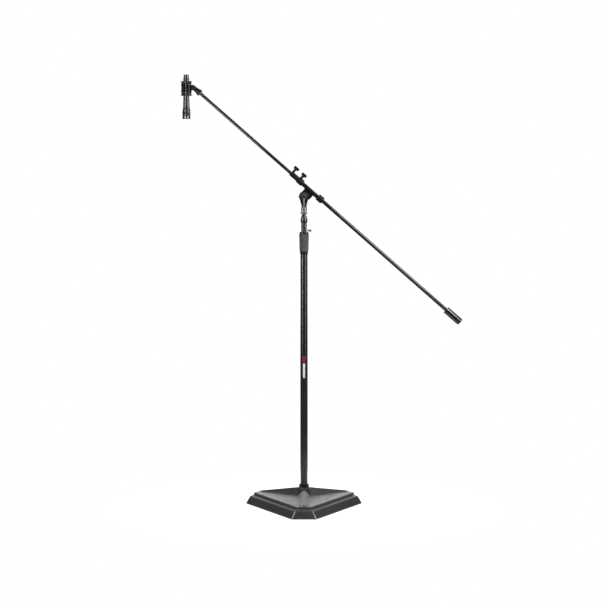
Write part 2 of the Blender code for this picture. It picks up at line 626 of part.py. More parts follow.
def cage_post(centre, cage):
    """An upright of the cage, its two ends flared outwards to hold the elastic loops."""
    half = CAGE_HALF
    lip_in, lip_out = 22.6, 25.4
    outline = [(CAGE_INNER, half - 5.0), (lip_in, half), (lip_out, half), (CAGE_OUTER, half - 3.8),
               (CAGE_OUTER, -half + 3.8), (lip_out, -half), (lip_in, -half), (CAGE_INNER, -half + 5.0)]
    return turned(f"cage_post_{centre}", outline, "black_plastic", steps=4, start=centre - POST_HALF_ANGLE,
                  sweep=2 * POST_HALF_ANGLE, parent=cage)


def make_shock_cage(cage):
    """Four flared posts on two hoops that are open at the front, and a pad for the arm's foot."""
    opening = 26.0
    inner, outer = CAGE_INNER + 0.3, CAGE_OUTER - 0.3
    hoop = [(inner, 9.0), (outer, 9.0), (outer, 14.0), (inner, 14.0)]
    sweep = {"steps": 20, "start": -90 + opening, "sweep": 360 - 2 * opening, "parent": cage}
    body = turned("shock_cage", hoop, "black_plastic", **sweep)
    lower = turned("cage_lower_hoop", [(r, z - 23.0) for r, z in hoop], "black_plastic", **sweep)
    join(body, lower)
    join(body, *[cage_post(centre, cage) for centre in (45, 135, 225, 315)])
    pad = box("cage_pad", (CAGE_INNER + 0.4, -7.5, -11.5), (CAGE_OUTER, 7.5, 12.0), parent=cage)
    join(body, pad)
    screw_axis = {"parent": cage, "at": (0, 0, ARM_SCREW_HEIGHT - CAGE_RISE), "turn": (0, 90, 0)}
    cut(body, rod("cage_screw_bore", 1.7, 15, 25, "black_plastic", steps=12, **screw_axis))
    screw = [(0, 17.2), (2.9, 17.2), (2.9, 18.3), (1.4, 18.3), (1.4, 26.5), (0, 26.5)]
    turned("cage_screw", screw, "steel", steps=12, **screw_axis)


def elastic_path(diagonal):
    """A loop round two opposite posts that touches the microphone on both sides."""
    outside = CAGE_OUTER + ELASTIC_RADIUS + GAP
    touching = MIC_RADIUS + ELASTIC_RADIUS + GAP
    edge = POST_HALF_ANGLE + 3.0
    tangent = edge + math.degrees(math.acos(touching / outside))
    half = arc((0, 0), outside, -edge, edge, 6) + arc((0, 0), touching, tangent, 180 - tangent, 5)
    points = half + [(-x, -y) for x, y in half]
    turn = math.radians(diagonal)
    cosine, sine = math.cos(turn), math.sin(turn)
    return [(x * cosine - y * sine, x * sine + y * cosine) for x, y in points]


def make_elastic(name, diagonal, height, cage):
    curve = bpy.data.curves.new(name, "CURVE")
    curve.dimensions = "3D"
    curve.bevel_depth = ELASTIC_RADIUS * MM
    curve.bevel_resolution = 1
    spline = curve.splines.new("POLY")
    points = elastic_path(diagonal)
    spline.points.add(len(points) - 1)
    for point, (x, y) in zip(spline.points, points):
        point.co = (x * MM, y * MM, 0, 1)
    spline.use_cyclic_u = True
    curve.materials.append(material("rubber"))
    loop = bpy.data.objects.new(name, curve)
    bpy.context.scene.collection.objects.link(loop)
    loop.parent = cage
    loop.location.z = height * MM


def make_elastics(cage):
    outer, inner = CAGE_HALF - 5.2, CAGE_HALF - 12.0
    make_elastic("elastic_top_a", 45, outer, cage)
    make_elastic("elastic_top_b", 135, inner, cage)
    make_elastic("elastic_bottom_a", 135, -outer, cage)
    make_elastic("elastic_bottom_b", 45, -inner, cage)


# ---------------------------------------------------------------- microphone


def make_mic_body(mic):
    wall = MIC_RADIUS - 1.5
    body = [(wall, 1562.3), (14.7, 1562.3), (14.9, 1563.4), (14.6, 1566.0), (13.6, 1570.0), (13.2, 1576.0),
            (12.6, 1596.0), (MIC_RADIUS, 1606.0), (MIC_RADIUS, 1682.0), (11.4, 1684.0), (wall, 1684.0)]
    turned("mic_body", body, "mic_metal", steps=24, parent=mic)
    band = [(wall, 1557.4), (15.3, 1557.4), (15.7, 1558.2), (15.7, 1561.2), (15.3, 1562.0), (wall, 1562.0)]
    turned("mic_ring", band, "mic_metal", steps=24, parent=mic)


def make_mic_head(mic):
    """The slotted housing over the capsule: eight windows at the end and eight longer ones above them."""
    inner = MIC_HEAD_RADIUS - 1.6
    low, high = MIC_BOTTOM, 1557.1
    outline = [(inner, low), (MIC_HEAD_RADIUS - 0.6, low), (MIC_HEAD_RADIUS, low + 0.6),
               (MIC_HEAD_RADIUS, high - 0.6), (MIC_HEAD_RADIUS - 0.6, high), (inner, high)]
    head = turned("mic_head", outline, "mic_metal", steps=32, parent=mic)
    half = 3.4
    rows = ((low + 1.4, low + 9.8), (low + 12.0, high - 2.6))
    for row, (bottom, top) in enumerate(rows):
        for window in range(4):
            slot = box(f"mic_window_{row}_{window}", (-20, -half, bottom), (20, half, top), parent=mic)
            slot.rotation_euler.z = math.radians(22.5 + 45 * window)
            cut(head, slot)


def make_mic_inside(mic):
    low = MIC_BOTTOM + 11.0
    mesh = [(0, low), (13.2, low), (13.9, low + 0.7), (13.9, 1556.6), (13.2, 1556.6), (13.2, low + 1.4),
            (12.8, low + 1.0), (0, low + 1.0)]
    turned("mic_mesh", mesh, "mesh_metal", steps=24, parent=mic)
    capsule = [(0, low + 2.2), (12.0, low + 2.2), (12.6, low + 2.8), (12.6, low + 9.0), (9.8, low + 11.0),
               (9.8, low + 34.0), (0, low + 34.0)]
    turned("mic_capsule", capsule, "steel", steps=20, parent=mic)


def make_xlr_inlet(mic):
    shell = [(8.6, 1676.0), (10.2, 1676.0), (10.2, MIC_TOP - 1.0), (9.6, MIC_TOP), (8.6, MIC_TOP)]
    turned("xlr_shell", shell, "mic_metal", steps=24, parent=mic)
    insert = rod("xlr_insert", 8.3, 1679.0, 1684.5, "black_plastic", steps=16, parent=mic)
    for direction in (90, 210, 330):
        x, y = polar(4.3, direction)
        join(insert, rod(f"xlr_pin_{direction}", 1.2, 1683.0, MIC_TOP - 3.0, "steel", steps=10,
                         parent=mic, at=(x, y, 0)))


def main():
    clear_scene()
    make_foot()
    make_mast_root()
    make_lower_mast()
    make_clutch()
    make_upper_mast()
    make_stop_screw()
    make_swivel_socket()
    make_swivel_yoke()
    make_tilt_clamp()

    # The boom's frame: its Z runs up along the boom, its X away from the pivot
    tilt = frame("tilt_axis", at=(0, 0, PIVOT_HEIGHT), turn=(0, BOOM_SLOPE - 90, 0))
    boom = frame("boom_axis", at=(BOOM_OFFSET, 0, 0), parent=tilt)
    make_boom_cradle(boom)
    make_knob("boom_lock", BOOM_KNOB_AT, BOOM_RADIUS + GAP, 17.2, boom)
    make_boom(boom)
    make_knob("extension_lock", EXTENSION_KNOB_AT, EXTENSION_RADIUS + GAP, 16.0, boom)
    make_extension(boom)
    make_mount_base(boom)

    # The mount's frame stands upright again at the mount's own pivot
    mount = frame("mount_axis", at=(0, 0, MOUNT_PIVOT), turn=(0, 90 - BOOM_SLOPE, 0), parent=boom)
    make_mount_knob(mount)
    make_mount_arm(mount)
    cage = frame("cage_axis", at=(-MIC_FROM_MOUNT, 0, CAGE_RISE), parent=mount)
    make_shock_cage(cage)
    make_elastics(cage)
    slope = math.radians(BOOM_SLOPE)
    mount_height = PIVOT_HEIGHT + BOOM_OFFSET * math.cos(slope) + MOUNT_PIVOT * math.sin(slope)
    mic = frame("mic_axis", at=(-MIC_FROM_MOUNT, 0, -mount_height), parent=mount)
    make_mic_body(mic)
    make_mic_head(mic)
    make_mic_inside(mic)
    make_xlr_inlet(mic)


main()
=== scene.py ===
"""Looks for the boom microphone stand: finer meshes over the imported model, materials, studio and camera.

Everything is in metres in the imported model's frame. Outlines are worked out in millimetres from the
CAD nodes that they stand for, so a piece always has its node's size.
"""

import json
import math

import bmesh
import bpy
import numpy as np
from mathutils import Matrix, Vector


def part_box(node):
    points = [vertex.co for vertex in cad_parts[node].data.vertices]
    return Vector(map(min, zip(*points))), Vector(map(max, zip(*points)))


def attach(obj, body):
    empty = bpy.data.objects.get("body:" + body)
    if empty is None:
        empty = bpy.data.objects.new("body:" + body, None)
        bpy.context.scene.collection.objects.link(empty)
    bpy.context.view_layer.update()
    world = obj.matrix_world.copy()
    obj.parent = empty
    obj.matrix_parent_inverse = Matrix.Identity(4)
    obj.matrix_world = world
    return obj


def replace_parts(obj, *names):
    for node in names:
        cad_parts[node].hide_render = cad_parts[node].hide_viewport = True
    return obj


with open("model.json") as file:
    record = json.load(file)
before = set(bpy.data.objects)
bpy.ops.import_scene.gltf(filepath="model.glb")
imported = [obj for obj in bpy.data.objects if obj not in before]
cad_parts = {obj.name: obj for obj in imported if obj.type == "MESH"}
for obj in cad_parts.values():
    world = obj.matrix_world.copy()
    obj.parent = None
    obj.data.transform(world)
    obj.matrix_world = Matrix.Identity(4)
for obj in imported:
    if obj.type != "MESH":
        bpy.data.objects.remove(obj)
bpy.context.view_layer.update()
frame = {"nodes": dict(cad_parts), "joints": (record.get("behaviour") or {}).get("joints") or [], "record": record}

NODES = frame["nodes"]
JOINTS = {joint["name"]: joint for joint in frame["joints"]}
BODY_OF = {node: body for body, members in frame["record"]["behaviour"]["bodies"].items()
           for node in members}
SLOT_OF = {row["node"]: row["material_slot"] for row in frame["record"]["subparts"]}
MM = 0.001


# ---- places


def placed(point, z_axis, x_axis):
    """A frame at a point, by its Z and a direction that its X lies nearest to."""
    z = Vector(z_axis).normalized()
    x = Vector(x_axis)
    x = (x - z * x.dot(z)).normalized()
    y = z.cross(x)
    turn = Matrix((x, y, z)).transposed().to_4x4()
    return Matrix.Translation(Vector(point)) @ turn


def centre_of(node):
    low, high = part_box(node)
    return (low + high) / 2


def joint_place(name, z_axis, x_axis):
    return placed(JOINTS[name]["pos_m"], z_axis, x_axis)


ALONG_BOOM = Vector(JOINTS["boom_slide"]["axis"])
OFF_BOOM = Vector(JOINTS["boom_lock_turn"]["axis"])
TOWARDS_CAMERA = (0, -1, 0)
MAST = Matrix.Identity(4)
PIVOT = joint_place("boom_tilt", TOWARDS_CAMERA, (1, 0, 0))
BOOM = joint_place("boom_roll", ALONG_BOOM, OFF_BOOM)
BOOM_KNOB = joint_place("boom_lock_turn", OFF_BOOM, -ALONG_BOOM)
EXTENSION_KNOB = joint_place("extension_lock_turn", OFF_BOOM, -ALONG_BOOM)
STOP_SCREW = joint_place("stop_screw_turn", JOINTS["stop_screw_turn"]["axis"], (0, 0, -1))
MOUNT = joint_place("mount_tilt", TOWARDS_CAMERA, (1, 0, 0))
MIC = Matrix.Translation((centre_of("mic_body").x, 0, 0))
CAGE_HEIGHT = centre_of("elastic_top_a").z / 2 + centre_of("elastic_bottom_a").z / 2
CAGE = MIC @ Matrix.Translation((0, 0, CAGE_HEIGHT))
BOOM_SIDE = BOOM @ Matrix.Rotation(math.radians(90), 4, "X")


# ---- shaders


class Shader:
    """A Principled material and the few node chains that its patterns are made from."""

    def __init__(self, name, colour, roughness, metallic=0.0, place=MAST, **sockets):
        self.material = bpy.data.materials.new(name)
        self.material.use_nodes = True
        self.tree = self.material.node_tree
        self.main = self.tree.nodes["Principled BSDF"]
        self.colour = colour
        self.set("Base Color", (*colour, 1.0))
        self.set("Roughness", roughness)
        self.set("Metallic", metallic)
        for socket, value in sockets.items():
            self.set(socket.replace("_", " ").title().replace("Ior", "IOR"), value)
        self.bump_chain = None
        self.colour_chain = None
        where = self.node("ShaderNodeTexCoord").outputs["Object"]
        inverse = place.inverted()
        mapping = self.node("ShaderNodeMapping", {"Location": inverse.translation,
                                                  "Rotation": inverse.to_euler()})
        self.link(where, mapping.inputs["Vector"])
        self.where = mapping.outputs["Vector"]

    def set(self, socket, value):
        self.main.inputs[socket].default_value = value

    def node(self, kind, sockets=None, **settings):
        made = self.tree.nodes.new(kind)
        for key, value in settings.items():
            setattr(made, key, value)
        for socket, value in (sockets or {}).items():
            made.inputs[socket].default_value = value
        return made

    def link(self, source, target):
        self.tree.links.new(source, target)

    def noise(self, scale, stretch=(1, 1, 1), detail=2.0):
        """Noise in the piece's own place, scale in cells per metre."""
        squeeze = self.node("ShaderNodeVectorMath", {1: stretch}, operation="MULTIPLY")
        self.link(self.where, squeeze.inputs[0])
        noise = self.node("ShaderNodeTexNoise", {"Scale": scale, "Detail": detail})
        self.link(squeeze.outputs[0], noise.inputs["Vector"])
        return noise.outputs["Fac"]

    def cells(self, scale):
        voronoi = self.node("ShaderNodeTexVoronoi", feature="SMOOTH_F1")
        voronoi.inputs["Scale"].default_value = scale
        voronoi.inputs["Smoothness"].default_value = 0.6
        self.link(self.where, voronoi.inputs["Vector"])
        return voronoi.outputs["Distance"]

    def spread(self, value, low, high, between=(0.3, 0.7)):
        """The value's range, between its two limits, spread from low to high."""
        ranged = self.node("ShaderNodeMapRange", {"From Min": between[0], "From Max": between[1],
                                                  "To Min": low, "To Max": high})
        self.link(value, ranged.inputs["Value"])
        return ranged.outputs["Result"]

    def rough(self, value, low, high, between=(0.3, 0.7)):
        self.link(self.spread(value, low, high, between), self.main.inputs["Roughness"])

    def bump(self, value, height, strength=1.0):
        """Adds relief, its height in millimetres."""
        relief = self.node("ShaderNodeBump", {"Distance": height * MM, "Strength": strength})
        self.link(value, relief.inputs["Height"])
        if self.bump_chain is not None:
            self.link(self.bump_chain, relief.inputs["Normal"])
        self.bump_chain = relief.outputs["Normal"]
        self.link(self.bump_chain, self.main.inputs["Normal"])

    def tint(self, value, other, between=(0.4, 0.7), amount=1.0):
        """Mixes another colour in where the value is high."""
        mix = self.node("ShaderNodeMix", data_type="RGBA")
        base, over = mix.inputs["A"], mix.inputs["B"]
        base.default_value = (*self.colour, 1.0)
        over.default_value = (*other, 1.0)
        if self.colour_chain is not None:
            self.link(self.colour_chain, base)
        self.link(self.spread(value, 0.0, amount, between), mix.inputs["Factor"])
        self.colour_chain = mix.outputs["Result"]
        self.link(self.colour_chain, self.main.inputs["Base Color"])

    def edges(self, other, between=(0.52, 0.58), amount=1.0):
        """Wear on convex edges, broken up by noise."""
        convex = self.node("ShaderNodeNewGeometry").outputs["Pointiness"]
        broken = self.node("ShaderNodeMath", {1: 0.05, 2: -0.025}, operation="MULTIPLY_ADD")
        self.link(self.noise(180.0, detail=4.0), broken.inputs[0])
        total = self.node("ShaderNodeMath", operation="ADD")
        self.link(convex, total.inputs[0])
        self.link(broken.outputs[0], total.inputs[1])
        self.tint(total.outputs[0], other, between, amount)


PAINT_BLACK = (0.006, 0.006, 0.0065)


def scaled(colour, factor):
    return tuple(factor * c for c in colour)


def wrinkle_paint():
    """The foot's coarse paint, with pale convex edges that are partly rubbed paint and partly painted highlight,
    and a painted highlight down the rim's corner edges.
    """
    paint = Shader("wrinkle_paint", (0.011, 0.011, 0.0115), 0.5, specular_ior_level=0.34)
    paint.bump(paint.cells(520.0), 0.16, 0.5)
    paint.bump(paint.noise(1500.0, detail=3.0), 0.05, 0.5)
    paint.rough(paint.noise(60.0, detail=4.0), 0.4, 0.52)
    paint.tint(paint.noise(25.0, detail=5.0), (0.017, 0.017, 0.018), amount=0.8)
    # Pale convex edges: partly rubbed paint, partly a painted highlight on the casting's edges.
    paint.edges((0.16, 0.16, 0.16), amount=0.7)
    # Painted highlight on the rim's vertical corner edges in a pale grey, broken up by noise.
    painted_corner_highlight = paint.node("ShaderNodeAttribute", attribute_name="painted_corner_highlight").outputs["Fac"]
    patchy = paint.node("ShaderNodeMath", operation="MULTIPLY")
    paint.link(painted_corner_highlight, patchy.inputs[0])
    paint.link(paint.spread(paint.noise(55.0, detail=4.0), 0.35, 1.0, (0.35, 0.6)), patchy.inputs[1])
    paint.tint(patchy.outputs[0], (0.3, 0.3, 0.3), (0.0, 1.0), 0.8)
    return paint


def satin_paint(name, place, low, high):
    """Tube paint with fine drawn streaks along the place's Z."""
    paint = Shader(name, PAINT_BLACK, 0.3, place=place, specular_ior_level=0.38)
    streaks = paint.noise(900.0, stretch=(1, 1, 0.012), detail=3.0)
    paint.rough(streaks, low, high)
    paint.bump(paint.noise(700.0), 0.004, 0.6)
    paint.tint(paint.noise(40.0, stretch=(1, 1, 0.3), detail=5.0), (0.01, 0.01, 0.011), amount=0.7)
    return paint


def gloss_paint():
    paint = Shader("gloss_paint", PAINT_BLACK, 0.2, coat_weight=0.15, coat_roughness=0.12)
    paint.bump(paint.noise(420.0), 0.02, 0.5)
    paint.rough(paint.noise(90.0, detail=5.0), 0.18, 0.27)
    paint.edges((0.06, 0.06, 0.062), amount=0.5)
    return paint


def cast_paint():
    """Semi-gloss paint over a sand-cast surface."""
    paint = Shader("cast_paint", (0.003, 0.003, 0.0033), 0.36, specular_ior_level=0.14)
    paint.bump(paint.noise(650.0, detail=3.0), 0.07, 0.5)
    paint.rough(paint.noise(120.0, detail=4.0), 0.3, 0.44)
    paint.tint(paint.noise(50.0, detail=4.0), PAINT_BLACK, amount=0.8)
    paint.edges((0.04, 0.04, 0.04), amount=0.6)
    return paint


def plastic():
    colour = (0.003, 0.003, 0.0033)
    moulded = Shader("plastic", colour, 0.42, specular_ior_level=0.13)
    moulded.bump(moulded.cells(2200.0), 0.015, 0.6)
    moulded.rough(moulded.noise(200.0, detail=3.0), 0.36, 0.5)
    moulded.edges(scaled(colour, 3), amount=0.5)
    return moulded


def soft_rubber(name, colour):
    rubber = Shader(name, colour, 0.7)
    rubber.bump(rubber.noise(1800.0, detail=3.0), 0.04, 0.7)
    rubber.rough(rubber.noise(90.0, detail=4.0), 0.58, 0.76)
    rubber.tint(rubber.noise(35.0, detail=5.0), scaled(colour, 1.7), amount=0.8)
    return rubber


def plated(name, colour, low, high):
    """Bare or plated metal with turning marks."""
    metal = Shader(name, colour, 0.3, 1.0)
    metal.rough(metal.noise(500.0, stretch=(0.15, 0.15, 4.0), detail=3.0), low, high)
    metal.bump(metal.noise(900.0, stretch=(0.05, 0.05, 6.0)), 0.008, 0.7)
    metal.tint(metal.noise(160.0, detail=4.0), scaled(colour, 0.7), amount=0.6)
    return metal


def nylon_moulding():
    nylon = Shader("nylon_moulding", (0.66, 0.65, 0.61), 0.45, subsurface_weight=0.1)
    nylon.bump(nylon.noise(1400.0), 0.03, 0.5)
    nylon.rough(nylon.noise(150.0, detail=3.0), 0.4, 0.55)
    nylon.tint(nylon.noise(80.0, detail=4.0), (0.55, 0.53, 0.48), amount=0.6)
    return nylon


def anodised():
    """The microphone's dark turned metal."""
    metal = Shader("anodised", (0.034, 0.034, 0.035), 0.32, 0.85, place=MIC)
    metal.rough(metal.noise(700.0, stretch=(0.1, 0.1, 3.0), detail=3.0), 0.24, 0.36)
    metal.bump(metal.noise(1200.0, stretch=(0.05, 0.05, 5.0)), 0.006, 0.7)
    metal.edges((0.12, 0.12, 0.125), amount=0.5)
    return metal


def braided():
    """Fabric-covered elastic: two sets of threads that cross round the cord."""
    cord = Shader("braided", (0.03, 0.03, 0.03), 0.75, sheen_weight=0.4, sheen_roughness=0.5)
    uv = cord.node("ShaderNodeUVMap", uv_map="wrap").outputs["UV"]
    for turn in (1.0, -1.0):
        lean = cord.node("ShaderNodeMapping", {"Rotation": (0, 0, turn * math.radians(40))})
        cord.link(uv, lean.inputs["Vector"])
        wave = cord.node("ShaderNodeTexWave", {"Scale": 9.0})
        cord.link(lean.outputs["Vector"], wave.inputs["Vector"])
        cord.bump(wave.outputs["Fac"], 0.12, 0.8)
    cord.rough(cord.noise(600.0), 0.65, 0.85)
    return cord


def vinyl(name, colour):
    film = Shader(name, colour, 0.35)
    film.bump(film.noise(300.0, detail=3.0), 0.01, 0.5)
    film.rough(film.noise(120.0, detail=4.0), 0.28, 0.45)
    film.tint(film.noise(200.0, detail=4.0), scaled(colour, 0.85), amount=0.7)
    return film


# Finishes of the record's material slots, and a few more that are named where they are used.
MATERIAL = {key: shader.material for key, shader in {
    "cast_iron": wrinkle_paint(),
    "black_casting": cast_paint(),
    "black_tube": satin_paint("mast_paint", MAST, 0.26, 0.33),
    "boom_paint": satin_paint("boom_paint", BOOM, 0.18, 0.24),
    "black_gloss": gloss_paint(),
    "black_plastic": plastic(),
    "grip_rubber": soft_rubber("grip_rubber", (0.026, 0.026, 0.027)),
    "rubber": soft_rubber("pad_rubber", (0.016, 0.016, 0.016)),
    "steel": plated("zinc_plate", (0.34, 0.34, 0.35), low=0.3, high=0.45),
    "dark_steel": plated("dark_plate", (0.13, 0.127, 0.123), low=0.36, high=0.5),
    "lever": plated("lever_plate", (0.17, 0.17, 0.17), low=0.42, high=0.54),
    "brass": plated("gilt_pins", (0.85, 0.66, 0.32), low=0.16, high=0.3),
    "nylon": nylon_moulding(),
    "mic_metal": anodised(),
    "mesh_metal": plated("mesh_wire", (0.03, 0.03, 0.031), low=0.5, high=0.62),
    "elastic": braided(),
    "label_white": vinyl("label_white", (0.5, 0.5, 0.49)),
    "label_red": vinyl("label_red", (0.2, 0.005, 0.003)),
}.items()}

# Nodes that look a little different from their slot.
SPECIAL_FINISH = {
    "clutch_ring": "black_tube", "mast_ferrule": "black_tube", "stop_screw_head": "steel",
    "tilt_lever": "lever", "boom_tube": "boom_paint", "extension_tube": "boom_paint",
    "elastic_top_a": "elastic", "elastic_top_b": "elastic", "elastic_bottom_a": "elastic",
    "elastic_bottom_b": "elastic", "mic_capsule": "dark_steel",
}


def finish_nodes():
    """Every CAD node gets the procedural finish of its slot."""
    for name, node in NODES.items():
        node.data.materials.clear()
        node.data.materials.append(MATERIAL[SLOT_OF[name]])


# ---- mesh helpers


def add_piece(name, verts, faces, place, node, finish=None, smooth=40.0):
    """A new piece, its millimetre points put in place, with its node's body, slot and finish."""
    mesh = bpy.data.meshes.new(name)
    mesh.from_pydata([tuple(place @ (Vector(v) * MM)) for v in verts], [], faces)
    tidy = bmesh.new()
    tidy.from_mesh(mesh)
    bmesh.ops.recalc_face_normals(tidy, faces=tidy.faces)
    tidy.to_mesh(mesh)
    tidy.free()
    mesh.shade_smooth()
    mesh.set_sharp_from_angle(angle=math.radians(smooth))
    mesh.materials.append(MATERIAL[finish or SPECIAL_FINISH.get(node, SLOT_OF[node])])
    piece = bpy.data.objects.new(name, mesh)
    bpy.context.scene.collection.objects.link(piece)
    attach(piece, BODY_OF[node])
    return piece


def outline_of(node, place, azimuth=0.05):
    """The (radius, height) outline, in millimetres, of a turned CAD node cut through its axis."""
    section = bmesh.new()
    section.from_mesh(NODES[node].data)
    bmesh.ops.transform(section, matrix=Matrix.Scale(1 / MM, 4) @ place.inverted(), verts=section.verts)
    bmesh.ops.remove_doubles(section, verts=section.verts, dist=1e-3)
    turn = math.radians(azimuth)
    across = Vector((math.cos(turn), math.sin(turn), 0))
    found = bmesh.ops.bisect_plane(
        section, geom=section.verts[:] + section.edges[:] + section.faces[:],
        plane_co=(0, 0, 0), plane_no=(-across.y, across.x, 0), dist=1e-5,
    )["geom_cut"]
    point_of = {v: (v.co.dot(across), v.co.z) for v in found if isinstance(v, bmesh.types.BMVert)}
    near = {v: [] for v, (radius, _) in point_of.items() if radius > -1e-3}
    for edge in (e for e in found if isinstance(e, bmesh.types.BMEdge)):
        a, b = edge.verts
        if a in near and b in near:
            near[a].append(b)
            near[b].append(a)
    ends = [v for v, others in near.items() if len(others) == 1]
    walk = [min(ends or near, key=lambda v: (point_of[v][0] > 1e-3, point_of[v][1]))]
    while True:
        onward = [v for v in near[walk[-1]] if v not in walk[-2:] and v is not walk[0]]
        if not onward or onward[0] in walk:
            break
        walk.append(onward[0])
    outline = [(max(point_of[v][0], 0.0), point_of[v][1]) for v in walk]
    section.free()
    return straightened(outline, closed=not ends)


def straightened(outline, closed):
    """The outline without the points that lie on a straight line between their neighbours."""
    kept = []
    count = len(outline)
    for i, point in enumerate(outline):
        if not closed and i in (0, count - 1):
            kept.append(point)
            continue
        before, after = Vector(outline[i - 1]), Vector(outline[(i + 1) % count])
        here = Vector(point)
        if (here - before).length < 1e-3:
            continue
        if (here - before).angle(after - here, 0.0) > math.radians(0.6):
            kept.append(point)
    return kept


def rounded(outline, radius, steps=4, closed=None):
    """The outline with its corners rounded as far as its sides allow."""
    if closed is None:
        closed = not (outline[0][0] < 1e-3 and outline[-1][0] < 1e-3)
    count = len(outline)
    made = []
    for i, point in enumerate(outline):
        if not closed and i in (0, count - 1):
            made.append(point)
            continue
        here = Vector(point)
        back = Vector(outline[i - 1]) - here
        onward = Vector(outline[(i + 1) % count]) - here
        turn = math.pi - back.angle(onward)
        if turn < math.radians(12):
            made.append(point)
            continue
        reach = min(radius * math.tan(turn / 2), 0.42 * back.length, 0.42 * onward.length)
        first, last = here + back.normalized() * reach, here + onward.normalized() * reach
        for step in range(steps + 1):
            t = step / steps
            made.append(tuple(first.lerp(here, t).lerp(here.lerp(last, t), t)))
    return made


def split_long(outline, longest):
    """The outline with points added so that no side is longer than this."""
    made = [outline[0]]
    for point in outline[1:]:
        a, b = Vector(made[-1]), Vector(point)
        parts = max(1, math.ceil((b - a).length / longest))
        made += [tuple(a.lerp(b, (k + 1) / parts)) for k in range(parts)]
    return made


def spun(name, outline, place, node, steps=96, shape=None, finish=None):
    """A closed skin spun about the place's Z. shape(radius, height, angle) may change a point's radius."""
    verts, rings = [], []
    for radius, height in outline:
        if radius < 1e-3:
            rings.append([len(verts)])
            verts.append((0, 0, height))
            continue
        rings.append(list(range(len(verts), len(verts) + steps)))
        for i in range(steps):
            angle = 2 * math.pi * i / steps
            r = shape(radius, height, angle) if shape else radius
            verts.append((r * math.cos(angle), r * math.sin(angle), height))
    open_ended = len(rings[0]) == 1 and len(rings[-1]) == 1
    faces = []
    for a, b in zip(rings, rings[1:] if open_ended else rings[1:] + rings[:1]):
        for i in range(steps):
            j = (i + 1) % steps
            corners = [a[i % len(a)], a[j % len(a)], b[j % len(b)], b[i % len(b)]]
            face = list(dict.fromkeys(corners))
            if len(face) > 2:
                faces.append(face)
    return add_piece(name, verts, faces, place, node, finish)


def turned(node, outline, place, steps=96, shape=None):
    """A spun piece that stands for its node."""
    piece = spun("fine_" + node, outline, place, node, steps, shape)
    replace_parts(piece, node)
    return piece


def refined(node, place, radius, steps=96, azimuth=0.05, shape=None, longest=None, bends=4):
    """Stands for a turned CAD node with the same outline, its corners rounded and its round truly round."""
    outline = rounded(outline_of(node, place, azimuth), radius, bends)
    if longest:
        outline = split_long(outline, longest)
    return turned(node, outline, place, steps, shape)


# Turned nodes that need only a finer mesh: place, corner radius in millimetres, steps round.
TURNED = {
    "lower_tube": (MAST, 0.4, 128),
    "upper_tube": (MAST, 0.4, 112),
    "mast_lock_collar": (MAST, 0.7, 112),
    "clutch_body": (MAST, 0.4, 96),
    "clutch_ring": (MAST, 0.8, 112),
    "clutch_cap": (MAST, 1.1, 112),
    "boom_lock_screw": (BOOM_KNOB, 0.3, 48),
    "extension_lock_screw": (EXTENSION_KNOB, 0.3, 48),
    "boom_tube": (BOOM, 0.3, 96),
    "extension_tube": (BOOM, 0.3, 96),
    "boom_tip_stud": (BOOM, 0.4, 72),
    "mic_body": (MIC, 0.9, 128),
    "mic_ring": (MIC, 0.4, 128),
    "mic_capsule": (MIC, 0.5, 96),
}


def make_turned():
    for node, (place, radius, steps) in TURNED.items():
        refined(node, place, radius, steps)


def plate(name, outline, low, high, place, node, edge=0.5, segments=3):
    """A flat outline raised from low to high, its edges rounded."""
    mesh = bmesh.new()
    floor = mesh.faces.new([mesh.verts.new((x, y, low)) for x, y in outline])
    raised = bmesh.ops.extrude_face_region(mesh, geom=[floor])["geom"]
    tops = [item for item in raised if isinstance(item, bmesh.types.BMVert)]
    bmesh.ops.translate(mesh, verts=tops, vec=(0, 0, high - low))
    bmesh.ops.recalc_face_normals(mesh, faces=mesh.faces)
    sharp = [e for e in mesh.edges if e.calc_face_angle(0.0) > math.radians(35)]
    if edge:
        bmesh.ops.bevel(mesh, geom=sharp, offset=edge, segments=segments, profile=0.5,
                        affect="EDGES", clamp_overlap=True)
    mesh.verts.index_update()
    verts = [tuple(v.co) for v in mesh.verts]
    faces = [[v.index for v in face.verts] for face in mesh.faces]
    mesh.free()
    return add_piece(name, verts, faces, place, node)


def combined(piece, operation, others):
    """Changes the piece by a Boolean with other closed meshes, which are then removed."""
    for other in others:
        step = piece.modifiers.new("combine", "BOOLEAN")
        step.operation = operation
        step.solver = "EXACT"
        step.object = other
        other.parent = None
    bpy.context.view_layer.update()
    graph = bpy.context.evaluated_depsgraph_get()
    mesh = bpy.data.meshes.new_from_object(piece.evaluated_get(graph), depsgraph=graph)
    piece.modifiers.clear()
    piece.data = mesh
    for other in others:
        bpy.data.objects.remove(other)
    mesh.set_sharp_from_angle(angle=math.radians(40))


def carve(piece, *cutters):
    combined(piece, "DIFFERENCE", cutters)


def merge(piece, *others):
    combined(piece, "UNION", others)


def local_box(node, place):
    """Lowest and highest corner of a CAD node in a place, in millimetres."""
    inverse = place.inverted()
    points = np.array([tuple(inverse @ v.co) for v in NODES[node].data.vertices]) / MM
    return Vector(points.min(0)), Vector(points.max(0))


def polar(radius, degrees, centre=(0, 0)):
    angle = math.radians(degrees)
    return (centre[0] + radius * math.cos(angle), centre[1] + radius * math.sin(angle))


def arc(centre, radius, first, last, count):
    step = (last - first) / (count - 1)
    return [polar(radius, first + step * i, centre) for i in range(count)]


def smooth_step(low, high, value):
    t = min(max((value - low) / (high - low), 0.0), 1.0)
    return t * t * (3 - 2 * t)


def rectangle(left, bottom, right, top):
    return [(left, bottom), (right, bottom), (right, top), (left, top)]


def cylinder(radius, low, high, place, node, steps=48):
    """A round cutter, used up by carve."""
    return spun("cutter", rectangle(0, low, radius, high), place, node, steps)


def prism(outline, low, high, place, node):
    """A cutter with a flat outline, used up by carve."""
    return plate("cutter", outline, low, high, place, node, edge=0)


def block(low, high, place, node):
    return prism(rectangle(low[0], low[1], high[0], high[1]), low[2], high[2], place, node)


